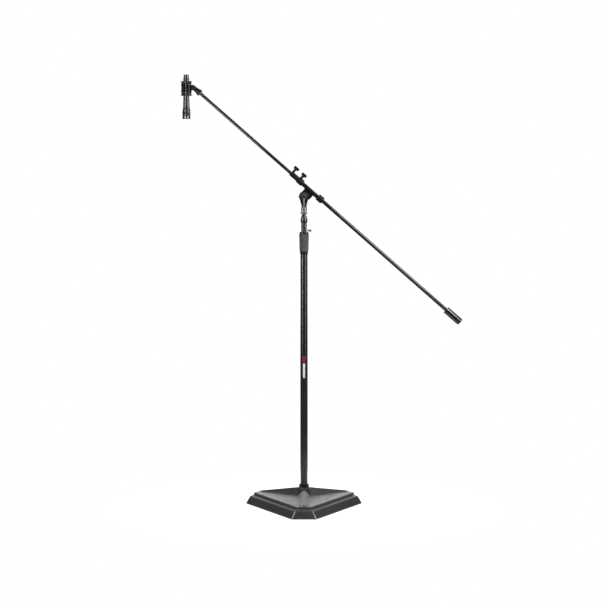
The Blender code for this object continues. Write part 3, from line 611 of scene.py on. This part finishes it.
def sector(name, outline, place, node, centre, half_angle, steps, finish=None):
    """A closed piece of a turned ring between two angles, in degrees."""
    verts, faces = [], []
    for i in range(steps + 1):
        angle = math.radians(centre - half_angle + 2 * half_angle * i / steps)
        verts += [(r * math.cos(angle), r * math.sin(angle), z) for r, z in outline]
    count = len(outline)
    for i in range(steps):
        for j in range(count):
            k = (j + 1) % count
            faces.append((i * count + j, i * count + k, (i + 1) * count + k, (i + 1) * count + j))
    faces.append(tuple(range(count)))
    faces.append(tuple(steps * count + j for j in reversed(range(count))))
    return add_piece(name, verts, faces, place, node, finish)


def hex_flats(across):
    """A shape that clamps a spun blank to a hexagon, which leaves the blank's chamfer on its corners."""
    def shape(radius, height, angle):
        lean = (angle + math.pi / 6) % (math.pi / 3) - math.pi / 6
        return min(radius, across / 2 / math.cos(lean))
    return shape


def thread(inner, low, high, pitch, depth):
    """A shape that cuts a helical thread into what lies outside the inner radius, between two heights."""
    def shape(radius, height, angle):
        if radius < inner or not low < height < high:
            return radius
        phase = (height / pitch - angle / (2 * math.pi)) % 1.0
        fade = smooth_step(low, low + pitch, height) * (1 - smooth_step(high - pitch, high, height))
        return radius - depth * fade * (0.5 + 0.5 * math.cos(2 * math.pi * phase))
    return shape


def flutes(inner, outer, count, depth, sharp=1.0):
    """A shape with grooves along the axis, which fade out from the outer radius to the inner one."""
    def shape(radius, height, angle):
        wave = (0.5 - 0.5 * math.cos(count * angle)) ** sharp
        return radius - depth * wave * smooth_step(inner, outer, radius)
    return shape


def nut(node, place, across, bore):
    low, high = local_box(node, place)
    corner = across / math.sqrt(3) + 0.1
    rise = 0.7
    blank = [(bore, low.z), (corner - 1.1, low.z), (corner, low.z + rise), (corner, high.z - rise),
             (corner - 1.1, high.z), (bore, high.z)]
    outline = split_long(rounded(blank, 0.15, steps=2), 0.35)
    turned(node, outline, place, 72, hex_flats(across))


# ---- foot

LONG_SIDES = (90, 210, 330)  # directions of the foot's long sides
CUT_CORNERS = (30, 150, 270)
PLATE_EDGE, PLATE_MIDDLE = 44.0, 52.0  # heights of the sloping plate
HUB_FOOT, HUB_NECK = 34.0, 17.5  # the hub's radii
HUB_TOP = 82.0


def foot_point(to_long, to_short, side, share):
    """A point on the cut triangle, on a given side, from its first corner at share 0 to the next at 1."""
    own, other = (to_long, to_short) if side in LONG_SIDES else (to_short, to_long)
    half = (other - own * 0.5) / math.sin(math.radians(60))
    x, y = polar(own, side)
    across = (2 * share - 1) * half
    dx, dy = polar(across, side + 90)
    return x + dx, y + dy


def foot_columns():
    """(side, share) of each column of points, closer together where the gussets and the arms are."""
    columns = []
    for side in sorted(LONG_SIDES + CUT_CORNERS):
        is_long = side in LONG_SIDES
        count = 140 if is_long else 40
        limit = math.radians(48.9 if is_long else 11.1)
        ends = [0.006, 0.018] if is_long else [0.018, 0.045]
        inner = [0.5 + 0.5 * math.tan(limit * (2 * i / count - 1)) / math.tan(limit)
                 for i in range(1, count)]
        inner = [share for share in inner if ends[-1] + 0.01 < share < 1 - ends[-1] - 0.01]
        shares = ends + inner + [1 - share for share in reversed(ends)]
        columns += [(side, share) for share in shares]
    return columns


def smooth_max(a, b, blend):
    h = max(blend - abs(a - b), 0.0) / blend
    return max(a, b) + h * h * blend * 0.25


def along_arms(x, y, directions):
    """How far out along each direction the point is, and how far to the side of it."""
    for direction in directions:
        ux, uy = polar(1.0, direction)
        out = x * ux + y * uy
        if out >= 5:
            yield out, abs(-x * uy + y * ux)


def ridge_height(x, y):
    """The roof-shaped arms, which fall from the hub to the cut corners."""
    best = -100.0
    for out, aside in along_arms(x, y, CUT_CORNERS):
        t = (out - 12.0) / 185.0
        crest = 82.6 - 32.2 * t
        half, skirt = 38.0 - 23.5 * t, 39.5 - 2.5 * t
        softened = math.sqrt(aside * aside + 0.8)
        roof = crest - (crest - skirt) * softened / half
        past_end = max(0.0, out - 195.5)
        best = max(best, roof - past_end * 4.0)
    return best


def gusset_height(x, y):
    """The three thin webs against the hub, between the arms."""
    best = -100.0
    for out, aside in along_arms(x, y, LONG_SIDES):
        slope = 81.5 - (out - 19.0) * 2.65 if out < 29 else 55.0 - (out - 29.0) * 2.5
        best = max(best, min(slope, 81.5) - max(0.0, aside - 2.4) * 9.0)
    return best


def plate_height(x, y, flat):
    hub = HUB_TOP - 6.0 * (math.hypot(x, y) - HUB_NECK)
    height = smooth_max(flat, ridge_height(x, y), 1.6)
    height = smooth_max(height, hub, 2.4)
    return min(smooth_max(height, gusset_height(x, y), 1.6), HUB_TOP)


def make_foot():
    """The casting: sloped sides, a ledge, a cove and a plate with ridges that rise to the hub."""
    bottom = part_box("base_pad")[1].z / MM + 0.3
    long_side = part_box("base_casting")[1].y / MM
    short_side = -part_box("base_casting")[0].y / MM
    insets = [(2.0, 2.0, bottom), (0.0, 0.0, bottom), (16.4, 11.0, 29.2), (18.0, 12.2, 30.0),
              (26.5, 21.0, 32.8), (29.0, 23.8, 36.5), (29.6, 24.6, PLATE_EDGE - 0.7),
              (30.8, 25.8, PLATE_EDGE), (33.0, 28.0, PLATE_EDGE + 0.2)]
    levels = [(long_side - a, short_side - b, z) for a, b, z in insets]
    levels = rounded(levels, 1.4, steps=3, closed=False)
    columns = foot_columns()
    rows = [[(*foot_point(a, b, side, share), z) for side, share in columns] for a, b, z in levels]
    edge = rows[-1]
    plate_rows = 64
    for row in range(1, plate_rows + 1):
        t = (row / plate_rows) ** 1.3
        points = []
        for x, y, z in edge:
            radius = math.hypot(x, y)
            new = radius + (HUB_FOOT - radius) * t
            px, py = x * new / radius, y * new / radius
            points.append((px, py, plate_height(px, py, z + (PLATE_MIDDLE - z) * t)))
        rows.append(points)
    directions = [math.atan2(y, x) for x, y, z in edge]
    hub_rows = 32
    for row in range(1, hub_rows + 1):
        radius = HUB_FOOT + (HUB_NECK - HUB_FOOT) * row / hub_rows
        points = [(radius * math.cos(a), radius * math.sin(a)) for a in directions]
        rows.append([(x, y, plate_height(x, y, PLATE_MIDDLE)) for x, y in points])
    bore = local_box("lower_tube", MAST)[1].x + 0.3
    rim = HUB_TOP + 0.2
    neck = [(HUB_NECK, HUB_TOP), (HUB_NECK - 0.6, rim), (bore, rim), (bore, 45.0)]
    for radius, height in rounded(neck, 0.5, steps=2, closed=False)[1:]:
        rows.append([(radius * math.cos(a), radius * math.sin(a), height) for a in directions])
    count = len(columns)
    verts = [point for row in rows for point in row]
    faces = []
    for r in range(len(rows) - 1):
        for c in range(count):
            after = (c + 1) % count
            faces.append((r * count + c, r * count + after, (r + 1) * count + after, (r + 1) * count + c))
    faces.append(tuple(reversed(range(count))))
    faces.append(tuple((len(rows) - 1) * count + c for c in range(count)))
    casting = add_piece("foot_casting", verts, faces, MAST, "base_casting", smooth=50)
    # Marks the rim's vertical corner faces, where the paint puts a painted highlight.
    painted_corner_highlight = casting.data.attributes.new("painted_corner_highlight", "FLOAT", "FACE")
    for r in range(len(levels) - 1):
        for c in range(count):
            turns = columns[c][0] != columns[(c + 1) % count][0]
            if turns and verts[r * count][2] < 29 and verts[(r + 1) * count][2] > bottom + 1:
                painted_corner_highlight.data[r * count + c].value = 1.0
    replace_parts(casting, "base_casting")


# ---- mast


def make_clutch_grip():
    inner = local_box("lower_tube", MAST)[1].x + 1.0
    ribs = flutes(inner, inner + 1.0, 40, 0.55, sharp=1.6)
    refined("clutch_grip", MAST, 0.9, 400, shape=ribs)


def make_label():
    """A plain two-colour sticker on the mast, with nothing printed on it."""
    tube = local_box("lower_tube", MAST)[1].x
    facing, half_angle = -90.0, 16.0
    for name, finish, low, high in (("label_lower", "label_white", 517.0, 573.7),
                                    ("label_upper", "label_red", 573.8, 602.5)):
        film = rounded(rectangle(tube + 0.02, low, tube + 0.14, high), 0.05, steps=2)
        sector(name, film, MAST, "lower_tube", facing, half_angle, 24, finish)


def make_ferrule():
    """The bulge over the tube's end and the threaded stud above it."""
    outline = rounded(outline_of("mast_ferrule", MAST), 5.0, steps=5)
    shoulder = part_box("swivel_socket")[0].z / MM
    fine = []
    for point in split_long(outline, 2.5):
        in_thread = fine and point[0] > 7 and fine[-1][1] > shoulder - 3 and point[1] < shoulder + 3
        fine += split_long([fine[-1], point], 0.16)[1:] if in_thread else [point]
    turns = thread(7.5, shoulder - 2.6, shoulder + 2.6, 0.94, 0.45)
    turned("mast_ferrule", fine, MAST, 128, turns)


def make_stop_screw():
    end = local_box("stop_screw_stud", STOP_SCREW)[1].z
    turns = thread(2.0, 15.0, end - 0.2, 1.0, 0.35)
    refined("stop_screw_stud", STOP_SCREW, 0.3, 48, shape=turns, longest=0.2, bends=2)
    low, high = local_box("stop_screw_head", STOP_SCREW)
    outer = high.x
    blank = [(0, low.z), (outer - 0.9, low.z), (outer, low.z + 0.8), (outer, high.z - 0.8),
             (outer - 0.9, high.z), (2.6, high.z), (2.2, high.z - 0.6), (0, high.z - 0.6)]
    knurl = flutes(outer - 1.2, outer - 0.3, 24, 0.35)
    turned("stop_screw_head", rounded(blank, 0.4, steps=3), STOP_SCREW, 192, knurl)


# ---- tilt joint


def make_swivel_socket():
    socket = refined("swivel_socket", MAST, 0.7, 112)
    front = placed((0, 0, centre_of("socket_set_screw").z), TOWARDS_CAMERA, (1, 0, 0))
    slot = [(-2.2, 1.7), *arc((-2.2, 0), 1.7, 90, 270, 9)[1:-1], (-2.2, -1.7), (2.2, -1.7),
            *arc((2.2, 0), 1.7, -90, 90, 9)[1:-1], (2.2, 1.7)]
    slot = [(x * 1.25, y) for x, y in slot]
    carve(socket, cylinder(3.3, 6.0, 16.0, front, "swivel_socket"),
          prism(slot, 9.3, 16.0, front, "swivel_socket"))


def make_swivel_yoke():
    """Two round ears on a neck, the slot between them and the bore through both."""
    high = local_box("swivel_yoke", PIVOT)[1]
    ear, depth, neck = high.y, high.z, 10.0
    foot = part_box("swivel_socket")[1].z / MM + 0.3 - JOINTS["boom_tilt"]["pos_m"][2] / MM
    outline = [(-neck, foot + 5), (-neck, foot), (neck, foot), (neck, foot + 5)]
    outline += arc((0, 0), ear, -15, 195, 60)
    cheek = depth - 1.7
    yoke = plate("fine_swivel_yoke", outline, -cheek, cheek, PIVOT, "swivel_yoke", edge=2.0, segments=5)
    face = rounded(rectangle(0, -depth, 15.6, depth), 1.2, steps=5)
    merge(yoke, spun("boss", face, PIVOT, "swivel_yoke"))
    slot_floor, slot_half, bore = -22.6, 5.6, 4.3
    carve(yoke, block((-30, slot_floor, -slot_half), (30, 40, slot_half), PIVOT, "swivel_yoke"),
          cylinder(bore, -30, 30, PIVOT, "swivel_yoke"))
    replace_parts(yoke, "swivel_yoke")
    nut("tilt_nut", PIVOT, 13.0, 4.3)


def make_tilt_clamp():
    """The bolt's domed head and the flat lever that hangs from it."""
    end = local_box("tilt_bolt", PIVOT)[0].z
    turns = thread(3.2, end + 0.3, end + 8.0, 1.25, 0.4)
    refined("tilt_bolt", PIVOT, 1.0, 72, shape=turns, longest=0.25)
    low, high = local_box("tilt_lever", PIVOT)
    half = 3.85
    hub = rounded(rectangle(4.3, 11.8, high.x, 17.0), 0.8)
    boss = spun("lever_hub", hub, PIVOT, "tilt_lever", 72)
    tip = low.y + half
    bar = [(-half + 0.4, -5.5)] + arc((0, tip), half, 180, 360, 25) + [(half - 0.4, -5.5)]
    blade = plate("lever_blade", bar, 13.2, high.z, PIVOT, "tilt_lever", edge=1.1, segments=4)
    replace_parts(blade, "tilt_lever")
    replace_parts(boss, "tilt_lever")


def make_boom_cradle():
    """The half-pipe under the boom, its two collars and the tongue that reaches the pivot."""
    low, high = local_box("boom_cradle", BOOM)
    pivot_drop = -(BOOM.inverted() @ Vector(JOINTS["boom_tilt"]["pos_m"])).x / MM
    weight_collar, mic_collar, rail = 13.3, 12.75, 9.2
    outline = [(0, low.z), (weight_collar, low.z), (weight_collar, -42), (rail, -42), (rail, 36),
               (mic_collar, 36), (mic_collar, high.z), (0, high.z)]
    cradle = turned("boom_cradle", rounded(outline, 0.9), BOOM)
    web = arc((-pivot_drop, 0), 20.5, 123, 233, 40)
    web += [(7 - pivot_drop, -24.8), (-5.0, -24.8), (-5.0, 17.2)]
    tongue = plate("tongue", web, -4.05, 4.05, BOOM_SIDE, "boom_cradle", edge=0.8)
    boss = spun("boss", rounded(rectangle(0, 5.0, 5.6, 17.2), 0.6), BOOM_KNOB, "boom_cradle", 48)
    merge(cradle, tongue, boss)
    bore, seat = 7.6, 9.1
    hollow = [(0, -70), (seat, -70), (seat, -45), (bore, -45), (bore, 39), (seat, 39), (seat, 48.3),
              (bore, 48.3), (bore, 64), (0, 64)]
    carve(cradle, spun("cutter", hollow, BOOM, "boom_cradle"),
          block((-1.5, -20, -41.8), (20, 20, 35.8), BOOM, "boom_cradle"),
          cylinder(2.8, 3, 20, BOOM_KNOB, "boom_cradle"), cylinder(4.3, -20, 20, PIVOT, "boom_cradle"))


def make_knob(node, place):
    """A five-lobed clamp knob with a dished top and a neck."""
    low, high = local_box(node, place)
    outer, top, neck, base = high.x, high.z, 5.2, 22.2
    outline = [(0, low.z), (neck, low.z), (neck, base), (outer, base), (outer, top), (outer - 4.0, top),
               (outer - 4.6, top - 0.8), (3.2, top - 0.8), (2.9, top - 0.2), (0, top - 0.2)]
    lobes = flutes(neck + 1.5, outer - 2.5, 5, 1.9)
    turned(node, rounded(outline, 1.5, steps=5), place, 160, lobes)


# ---- boom


def make_boom_fittings():
    """The sleeve that clamps the extension, and the counterweight with its set screw."""
    sleeve = refined("boom_sleeve", BOOM, 0.8, azimuth=180.0)
    boss = rounded(rectangle(0, 7.5, 4.9, 16.0), 0.5)
    merge(sleeve, spun("boss", boss, EXTENSION_KNOB, "boom_sleeve", 48))
    carve(sleeve, cylinder(2.8, 4, 18, EXTENSION_KNOB, "boom_sleeve"))
    weight = refined("counterweight", BOOM, 2.4, 128)
    screw = BOOM.inverted() @ centre_of("counterweight_set_screw")
    across = placed(BOOM @ Vector((0, 0, screw.z)), -OFF_BOOM, ALONG_BOOM)
    carve(weight, cylinder(2.8, 5, 20, across, "counterweight", 32))
    refined("counterweight_set_screw", across, 0.3, 48)


# ---- shock mount


def make_mount():
    """The knurled lock nut on the boom's end, the socket with its fork, and what is clamped in it."""
    refined("mount_lock_nut", BOOM, 0.5, 384, shape=flutes(12.0, 13.2, 48, 0.4))
    start = local_box("mount_socket", BOOM)[0].z
    pivot = (BOOM.inverted() @ Vector(JOINTS["mount_tilt"]["pos_m"])).z / MM
    bore = 8.2
    outline = [(0, 580.6), (10.6, 580.6), (10.6, 575.0), (12.2, 573.0), (12.2, start), (bore, start),
               (bore, 577.8), (0, 577.8)]
    socket = turned("mount_socket", rounded(outline, 0.7), BOOM)
    ears = [(-8.8, 578), (8.8, 578)] + arc((0, pivot), 9.0, 0, 180, 33)
    merge(socket, plate("fork", ears, -8.4, 8.4, BOOM_SIDE, "mount_socket", edge=1.0, segments=4))
    carve(socket, block((-20, -4.3, 581.2), (20, 4.3, 610), BOOM, "mount_socket"),
          cylinder(2.7, -20, 20, MOUNT, "mount_socket", 32))
    nut("mount_nut", MOUNT, 8.0, 2.7)
    make_mount_knob()
    make_mount_arm()


def make_mount_knob():
    """An oval clamp knob with a round neck, and its bolt."""
    low, high = local_box("mount_thumb_knob", MOUNT)
    longest, flat, neck, shoulder = high.y, high.x / high.y, 5.0, 11.0
    outline = [(0, low.z), (neck, low.z), (neck, shoulder), (longest, shoulder), (longest, high.z),
               (longest - 3.0, high.z), (longest - 3.8, high.z - 0.8), (0, high.z - 0.8)]

    def oval(radius, height, angle):
        squeezed = flat / math.hypot(math.cos(angle), flat * math.sin(angle))
        return radius * (1 + (squeezed - 1) * smooth_step(neck, neck + 1.0, radius))

    turned("mount_thumb_knob", rounded(outline, 1.0), MOUNT, 144, oval)
    end = local_box("mount_bolt", MOUNT)[0].z
    turns = thread(2.0, end + 0.2, end + 6.0, 0.8, 0.3)
    refined("mount_bolt", MOUNT, 0.4, 48, shape=turns, longest=0.2, bends=3)


def make_mount_arm():
    """The tongue in the fork and the upright foot that the cage is screwed to."""
    reach = local_box("mount_arm", MOUNT)[0].x
    outline = arc((0, 0), 7.4, -90, 60, 26) + [(-4.0, 15.0), (reach, 15.0), (reach, -4.0)]
    arm = plate("fine_mount_arm", outline, -3.9, 3.9, MOUNT, "mount_arm", edge=0.9)
    upright = joint_place("mount_tilt", (0, 0, 1), (1, 0, 0))
    pad = rectangle(reach, -6.5, reach + 2.6, 6.5)
    foot = plate("arm_foot", pad, -5.0, 15.6, upright, "mount_arm", edge=0.7)
    carve(arm, cylinder(2.7, -10, 10, MOUNT, "mount_arm", 32))
    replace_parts(arm, "mount_arm")
    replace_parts(foot, "mount_arm")


CAGE_INNER, CAGE_OUTER = 18.2, 21.0
POST_HALF_ANGLE = 19.0
GRIPPED_RADIUS = 12.0  # the microphone's, where the elastics touch it


def make_shock_cage():
    """Two hoops open at the front, four flared posts and the pad that the arm's foot is screwed to."""
    low, high = local_box("shock_cage", CAGE)
    half = (high.z - low.z) / 2
    place = CAGE @ Matrix.Translation((0, 0, (high.z + low.z) / 2 * MM))
    for name, bottom in (("cage_hoop_upper", 9.0), ("cage_hoop_lower", -14.0)):
        hoop = rounded(rectangle(CAGE_INNER + 0.3, bottom, CAGE_OUTER - 0.3, bottom + 5), 0.6, steps=3)
        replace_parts(sector(name, hoop, place, "shock_cage", 90, 154, 96), "shock_cage")
    post = [(CAGE_INNER, half - 5.0), (22.6, half), (25.4, half), (CAGE_OUTER, half - 3.8),
            (CAGE_OUTER, -half + 3.8), (25.4, -half), (22.6, -half), (CAGE_INNER, -half + 5.0)]
    post = rounded(post, 0.7, steps=3)
    for centre in (45, 135, 225, 315):
        piece = sector(f"cage_post_{centre}", post, place, "shock_cage", centre, POST_HALF_ANGLE, 14)
        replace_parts(piece, "shock_cage")
    pad = rectangle(CAGE_INNER + 0.4, -7.5, CAGE_OUTER, 7.5)
    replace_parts(plate("cage_pad", pad, -11.5, 12.0, place, "shock_cage", edge=0.6), "shock_cage")


def elastic_path(diagonal, radius):
    """A loop round two opposite posts that touches the microphone on both sides."""
    outside = CAGE_OUTER + radius + 0.3
    touching = GRIPPED_RADIUS + radius + 0.3
    edge = POST_HALF_ANGLE + 3.0
    tangent = edge + math.degrees(math.acos(touching / outside))
    path = []
    for post in (diagonal, diagonal + 180):
        path += arc((0, 0), outside, post - edge, post + edge, 14)
        path += arc((0, 0), touching, post + tangent, post + 180 - tangent, 12)
    return [Vector((x, y, 0)) for x, y in path]


def make_elastic(node, diagonal):
    """A braided cord that follows its loop, with a wrap map for the braid."""
    low, high = local_box(node, CAGE)
    radius, height = (high.z - low.z) / 2, (high.z + low.z) / 2
    path = elastic_path(diagonal, radius)
    count, sides = len(path), 14
    verts, faces = [], []
    for i, point in enumerate(path):
        ahead = (path[(i + 1) % count] - path[i - 1]).normalized()
        aside = ahead.cross(Vector((0, 0, 1)))
        for k in range(sides):
            turn = 2 * math.pi * k / sides
            rim = point + aside * (radius * math.cos(turn)) + Vector((0, 0, radius * math.sin(turn)))
            verts.append((rim.x, rim.y, rim.z + height))
    wrap, length = [], 0.0
    for i in range(count):
        after = (i + 1) % count
        step = (path[after] - path[i]).length
        for k in range(sides):
            side = (k + 1) % sides
            faces.append((i * sides + k, after * sides + k, after * sides + side, i * sides + side))
            wrap.append(((length, k), (length + step, k), (length + step, k + 1), (length, k + 1)))
        length += step
    cord = add_piece("fine_" + node, verts, faces, CAGE, node)
    layer = cord.data.uv_layers.new(name="wrap")
    for face, corners in zip(cord.data.polygons, wrap):
        at = {faces[face.index][n]: corners[n] for n in range(4)}
        for loop in face.loop_indices:
            along, around = at[cord.data.loops[loop].vertex_index]
            layer.data[loop].uv = (along / (2 * math.pi * radius), around / sides)
    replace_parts(cord, node)


# ---- microphone


def make_microphone():
    shell = refined("xlr_shell", MIC, 0.4, 112)
    top = local_box("xlr_shell", MIC)[1].z
    carve(shell, block((-1.6, -12, top - 8.0), (1.6, -7, top + 2), MIC, "xlr_shell"))
    make_mic_head()
    make_mic_mesh()
    make_xlr_insert()


def make_mic_head():
    """The slotted housing: short windows at the open end, long ones above them."""
    low, high = local_box("mic_head", MIC)
    wall = rounded(rectangle(14.2, low.z, high.x, high.z), 0.5)
    head = turned("mic_head", wall, MIC, 144)
    windows = []
    for bottom, top, half in ((low.z + 1.4, low.z + 9.8, 2.0), (low.z + 12.0, high.z - 2.6, 3.4)):
        window = rounded(rectangle(bottom, -half, top, half), 1.0, closed=True)
        for turn in range(4):
            across = Vector((*polar(1.0, 22.5 + 45 * turn), 0))
            side = placed(MIC.translation, across, (0, 0, 1))
            windows.append(prism(window, -20, 20, side, "mic_head"))
    carve(head, *windows)


def make_mic_mesh():
    """Woven wire behind the windows: two sets of thin wires that lean opposite ways, and a flat end."""
    low, high = local_box("mic_mesh", MIC)
    radius, bottom, around = high.x - 0.25, low.z + 0.5, 64
    pitch = 2 * math.pi * radius / around
    rows = int((high.z - bottom - 0.5) / (pitch / 2))
    verts, faces = [], []
    for row in range(rows + 1):
        for i in range(around):
            x, y = polar(radius, 360 * (i + 0.5 * (row % 2)) / around)
            verts.append((x, y, bottom + row * pitch / 2))
    for row in range(rows - 1):
        below, level, above = row * around, (row + 1) * around, (row + 2) * around
        for i in range(around):
            left = i if row % 2 else (i - 1) % around
            right = (left + 1) % around
            faces.append((below + i, level + right, above + i, level + left))
    cloth = add_piece("fine_mic_mesh", verts, faces, MIC, "mic_mesh", smooth=180)
    wires = cloth.modifiers.new("wires", "WIREFRAME")
    wires.thickness = 0.28 * MM
    wires.use_even_offset = False
    wires.use_boundary = True
    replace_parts(cloth, "mic_mesh")
    end = [(0, bottom - 0.3), (radius - 0.6, bottom - 0.3), (radius, bottom + 0.2), (radius, bottom + 0.6),
           (radius - 0.5, bottom + 0.6), (radius - 0.9, bottom + 0.2), (0, bottom + 0.2)]
    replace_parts(spun("mic_mesh_end", rounded(end, 0.2, steps=2), MIC, "mic_mesh"), "mic_mesh")


def make_xlr_insert():
    """The insulating disc and its three plated pins."""
    low, high = local_box("xlr_insert", MIC)
    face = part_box("xlr_shell")[1].z / MM - 13.5
    disc = rounded(rectangle(0, low.z, 8.3, face), 0.4)
    turned("xlr_insert", disc, MIC)
    pin = rounded(rectangle(0, face - 1.0, 1.2, high.z), 0.9)
    for direction in (90, 210, 330):
        x, y = polar(4.3 * MM, direction)
        place = MIC @ Matrix.Translation((x, y, 0))
        piece = spun(f"xlr_pin_{direction}", pin, place, "xlr_insert", 32, finish="brass")
        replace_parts(piece, "xlr_insert")


# ---- studio


def make_stage():
    """A round sheet of pale paper under the object."""
    floor = bpy.data.meshes.new("floor")
    rim = [polar(FLOOR_RADIUS, 7.5 * i) for i in range(48)]
    floor.from_pydata([(x, y, 0) for x, y in rim], [], [tuple(range(48))])
    paper = Shader("floor_paper", (0.8, 0.8, 0.8), 0.9)
    paper.bump(paper.noise(40.0, detail=2.0), 0.02, 0.2)
    paper.set("Specular IOR Level", 0.1)
    floor.materials.append(paper.material)
    plane = bpy.data.objects.new("floor", floor)
    bpy.context.scene.collection.objects.link(plane)


# Soft panels: where each hangs, the point it faces, the way its long side runs, its two sides, its
# power and the angle of its beam.
PANELS = {
    "strip_left": ((-2.2, -1.85, 1.45), (0, 0, 1.45), (0, 0, 1), 1.8, 0.25, 62, 180),
    "strip_right": ((2.3, -1.6, 1.45), (0, 0, 1.45), (0, 0, 1), 1.8, 0.25, 50, 180),
    "back": ((0, 3.0, 1.25), (0, 0, 0), (1, 0, 0), 4.4, 1.9, 82, 180),
    "boom_right": ((1.05, -0.66, 1.7), (0.38, 0, 0.92), ALONG_BOOM, 0.7, 0.9, 28, 180),
    "boom_left": ((-0.59, -0.6, 1.2), (-0.29, 0, 1.52), ALONG_BOOM, 0.4, 0.22, 0.55, 55),
    "microphone_key": ((-0.893, -0.9, 1.5), (-0.455, 0, 1.6), (0, 0, 1), 0.3, 0.06, 4.5, 180),
}
SKY = 2.4
AMBIENT = 0.04
FLOOR_RADIUS = 0.8
IMAGE_WIDTH = 608
FOCAL_PIXELS = 2200.0
CAMERA_TILT_DOWN = 6.102


def make_lights():
    """Soft panels round the object and a wide sky lamp above it."""
    for name, (at, aim, along, length, width, watts, beam) in PANELS.items():
        data = bpy.data.lights.new(name, "AREA")
        data.shape = "RECTANGLE"
        data.size, data.size_y = length, width
        data.energy, data.spread = watts, math.radians(beam)
        light = bpy.data.objects.new(name, data)
        light.matrix_world = placed(at, Vector(at) - Vector(aim), along)
        light.visible_camera = False
        bpy.context.scene.collection.objects.link(light)
    data = bpy.data.lights.new("sky", "SUN")
    data.energy = SKY
    data.angle = math.radians(70)
    bpy.context.scene.collection.objects.link(bpy.data.objects.new("sky", data))


def make_world():
    """White as the camera sees it, and dim as the object does, so that its edges stay dark."""
    world = bpy.data.worlds.new("studio")
    world.use_nodes = True
    tree = world.node_tree
    background = tree.nodes["Background"]
    background.inputs["Color"].default_value = (1, 1, 1, 1)
    seen = tree.nodes.new("ShaderNodeLightPath")
    pick = tree.nodes.new("ShaderNodeMix")
    pick.inputs["A"].default_value = AMBIENT
    pick.inputs["B"].default_value = 1.0
    tree.links.new(seen.outputs["Is Camera Ray"], pick.inputs["Factor"])
    tree.links.new(pick.outputs["Result"], background.inputs["Strength"])
    bpy.context.scene.world = world


def make_camera():
    lens = bpy.data.cameras.new("camera")
    lens.sensor_width = 36.0
    lens.lens = FOCAL_PIXELS / IMAGE_WIDTH * lens.sensor_width
    lens.clip_end = 60.0
    camera = bpy.data.objects.new("camera", lens)
    camera.location = (0.0, -8.543, 1.720)
    camera.rotation_euler = (math.radians(90 - CAMERA_TILT_DOWN), 0, 0)
    bpy.context.scene.collection.objects.link(camera)
    bpy.context.scene.camera = camera
    bpy.context.scene.view_settings.view_transform = "Standard"


make_camera()
make_stage()
make_lights()
make_world()
finish_nodes()
make_turned()
make_foot()
make_clutch_grip()
make_label()
make_ferrule()
make_stop_screw()
make_swivel_socket()
make_swivel_yoke()
make_tilt_clamp()
make_boom_cradle()
make_knob("boom_lock_knob", BOOM_KNOB)
make_knob("extension_lock_knob", EXTENSION_KNOB)
make_boom_fittings()
make_mount()
make_shock_cage()
make_elastic("elastic_top_a", 45)
make_elastic("elastic_top_b", 135)
make_elastic("elastic_bottom_a", 135)
make_elastic("elastic_bottom_b", 45)
make_microphone()
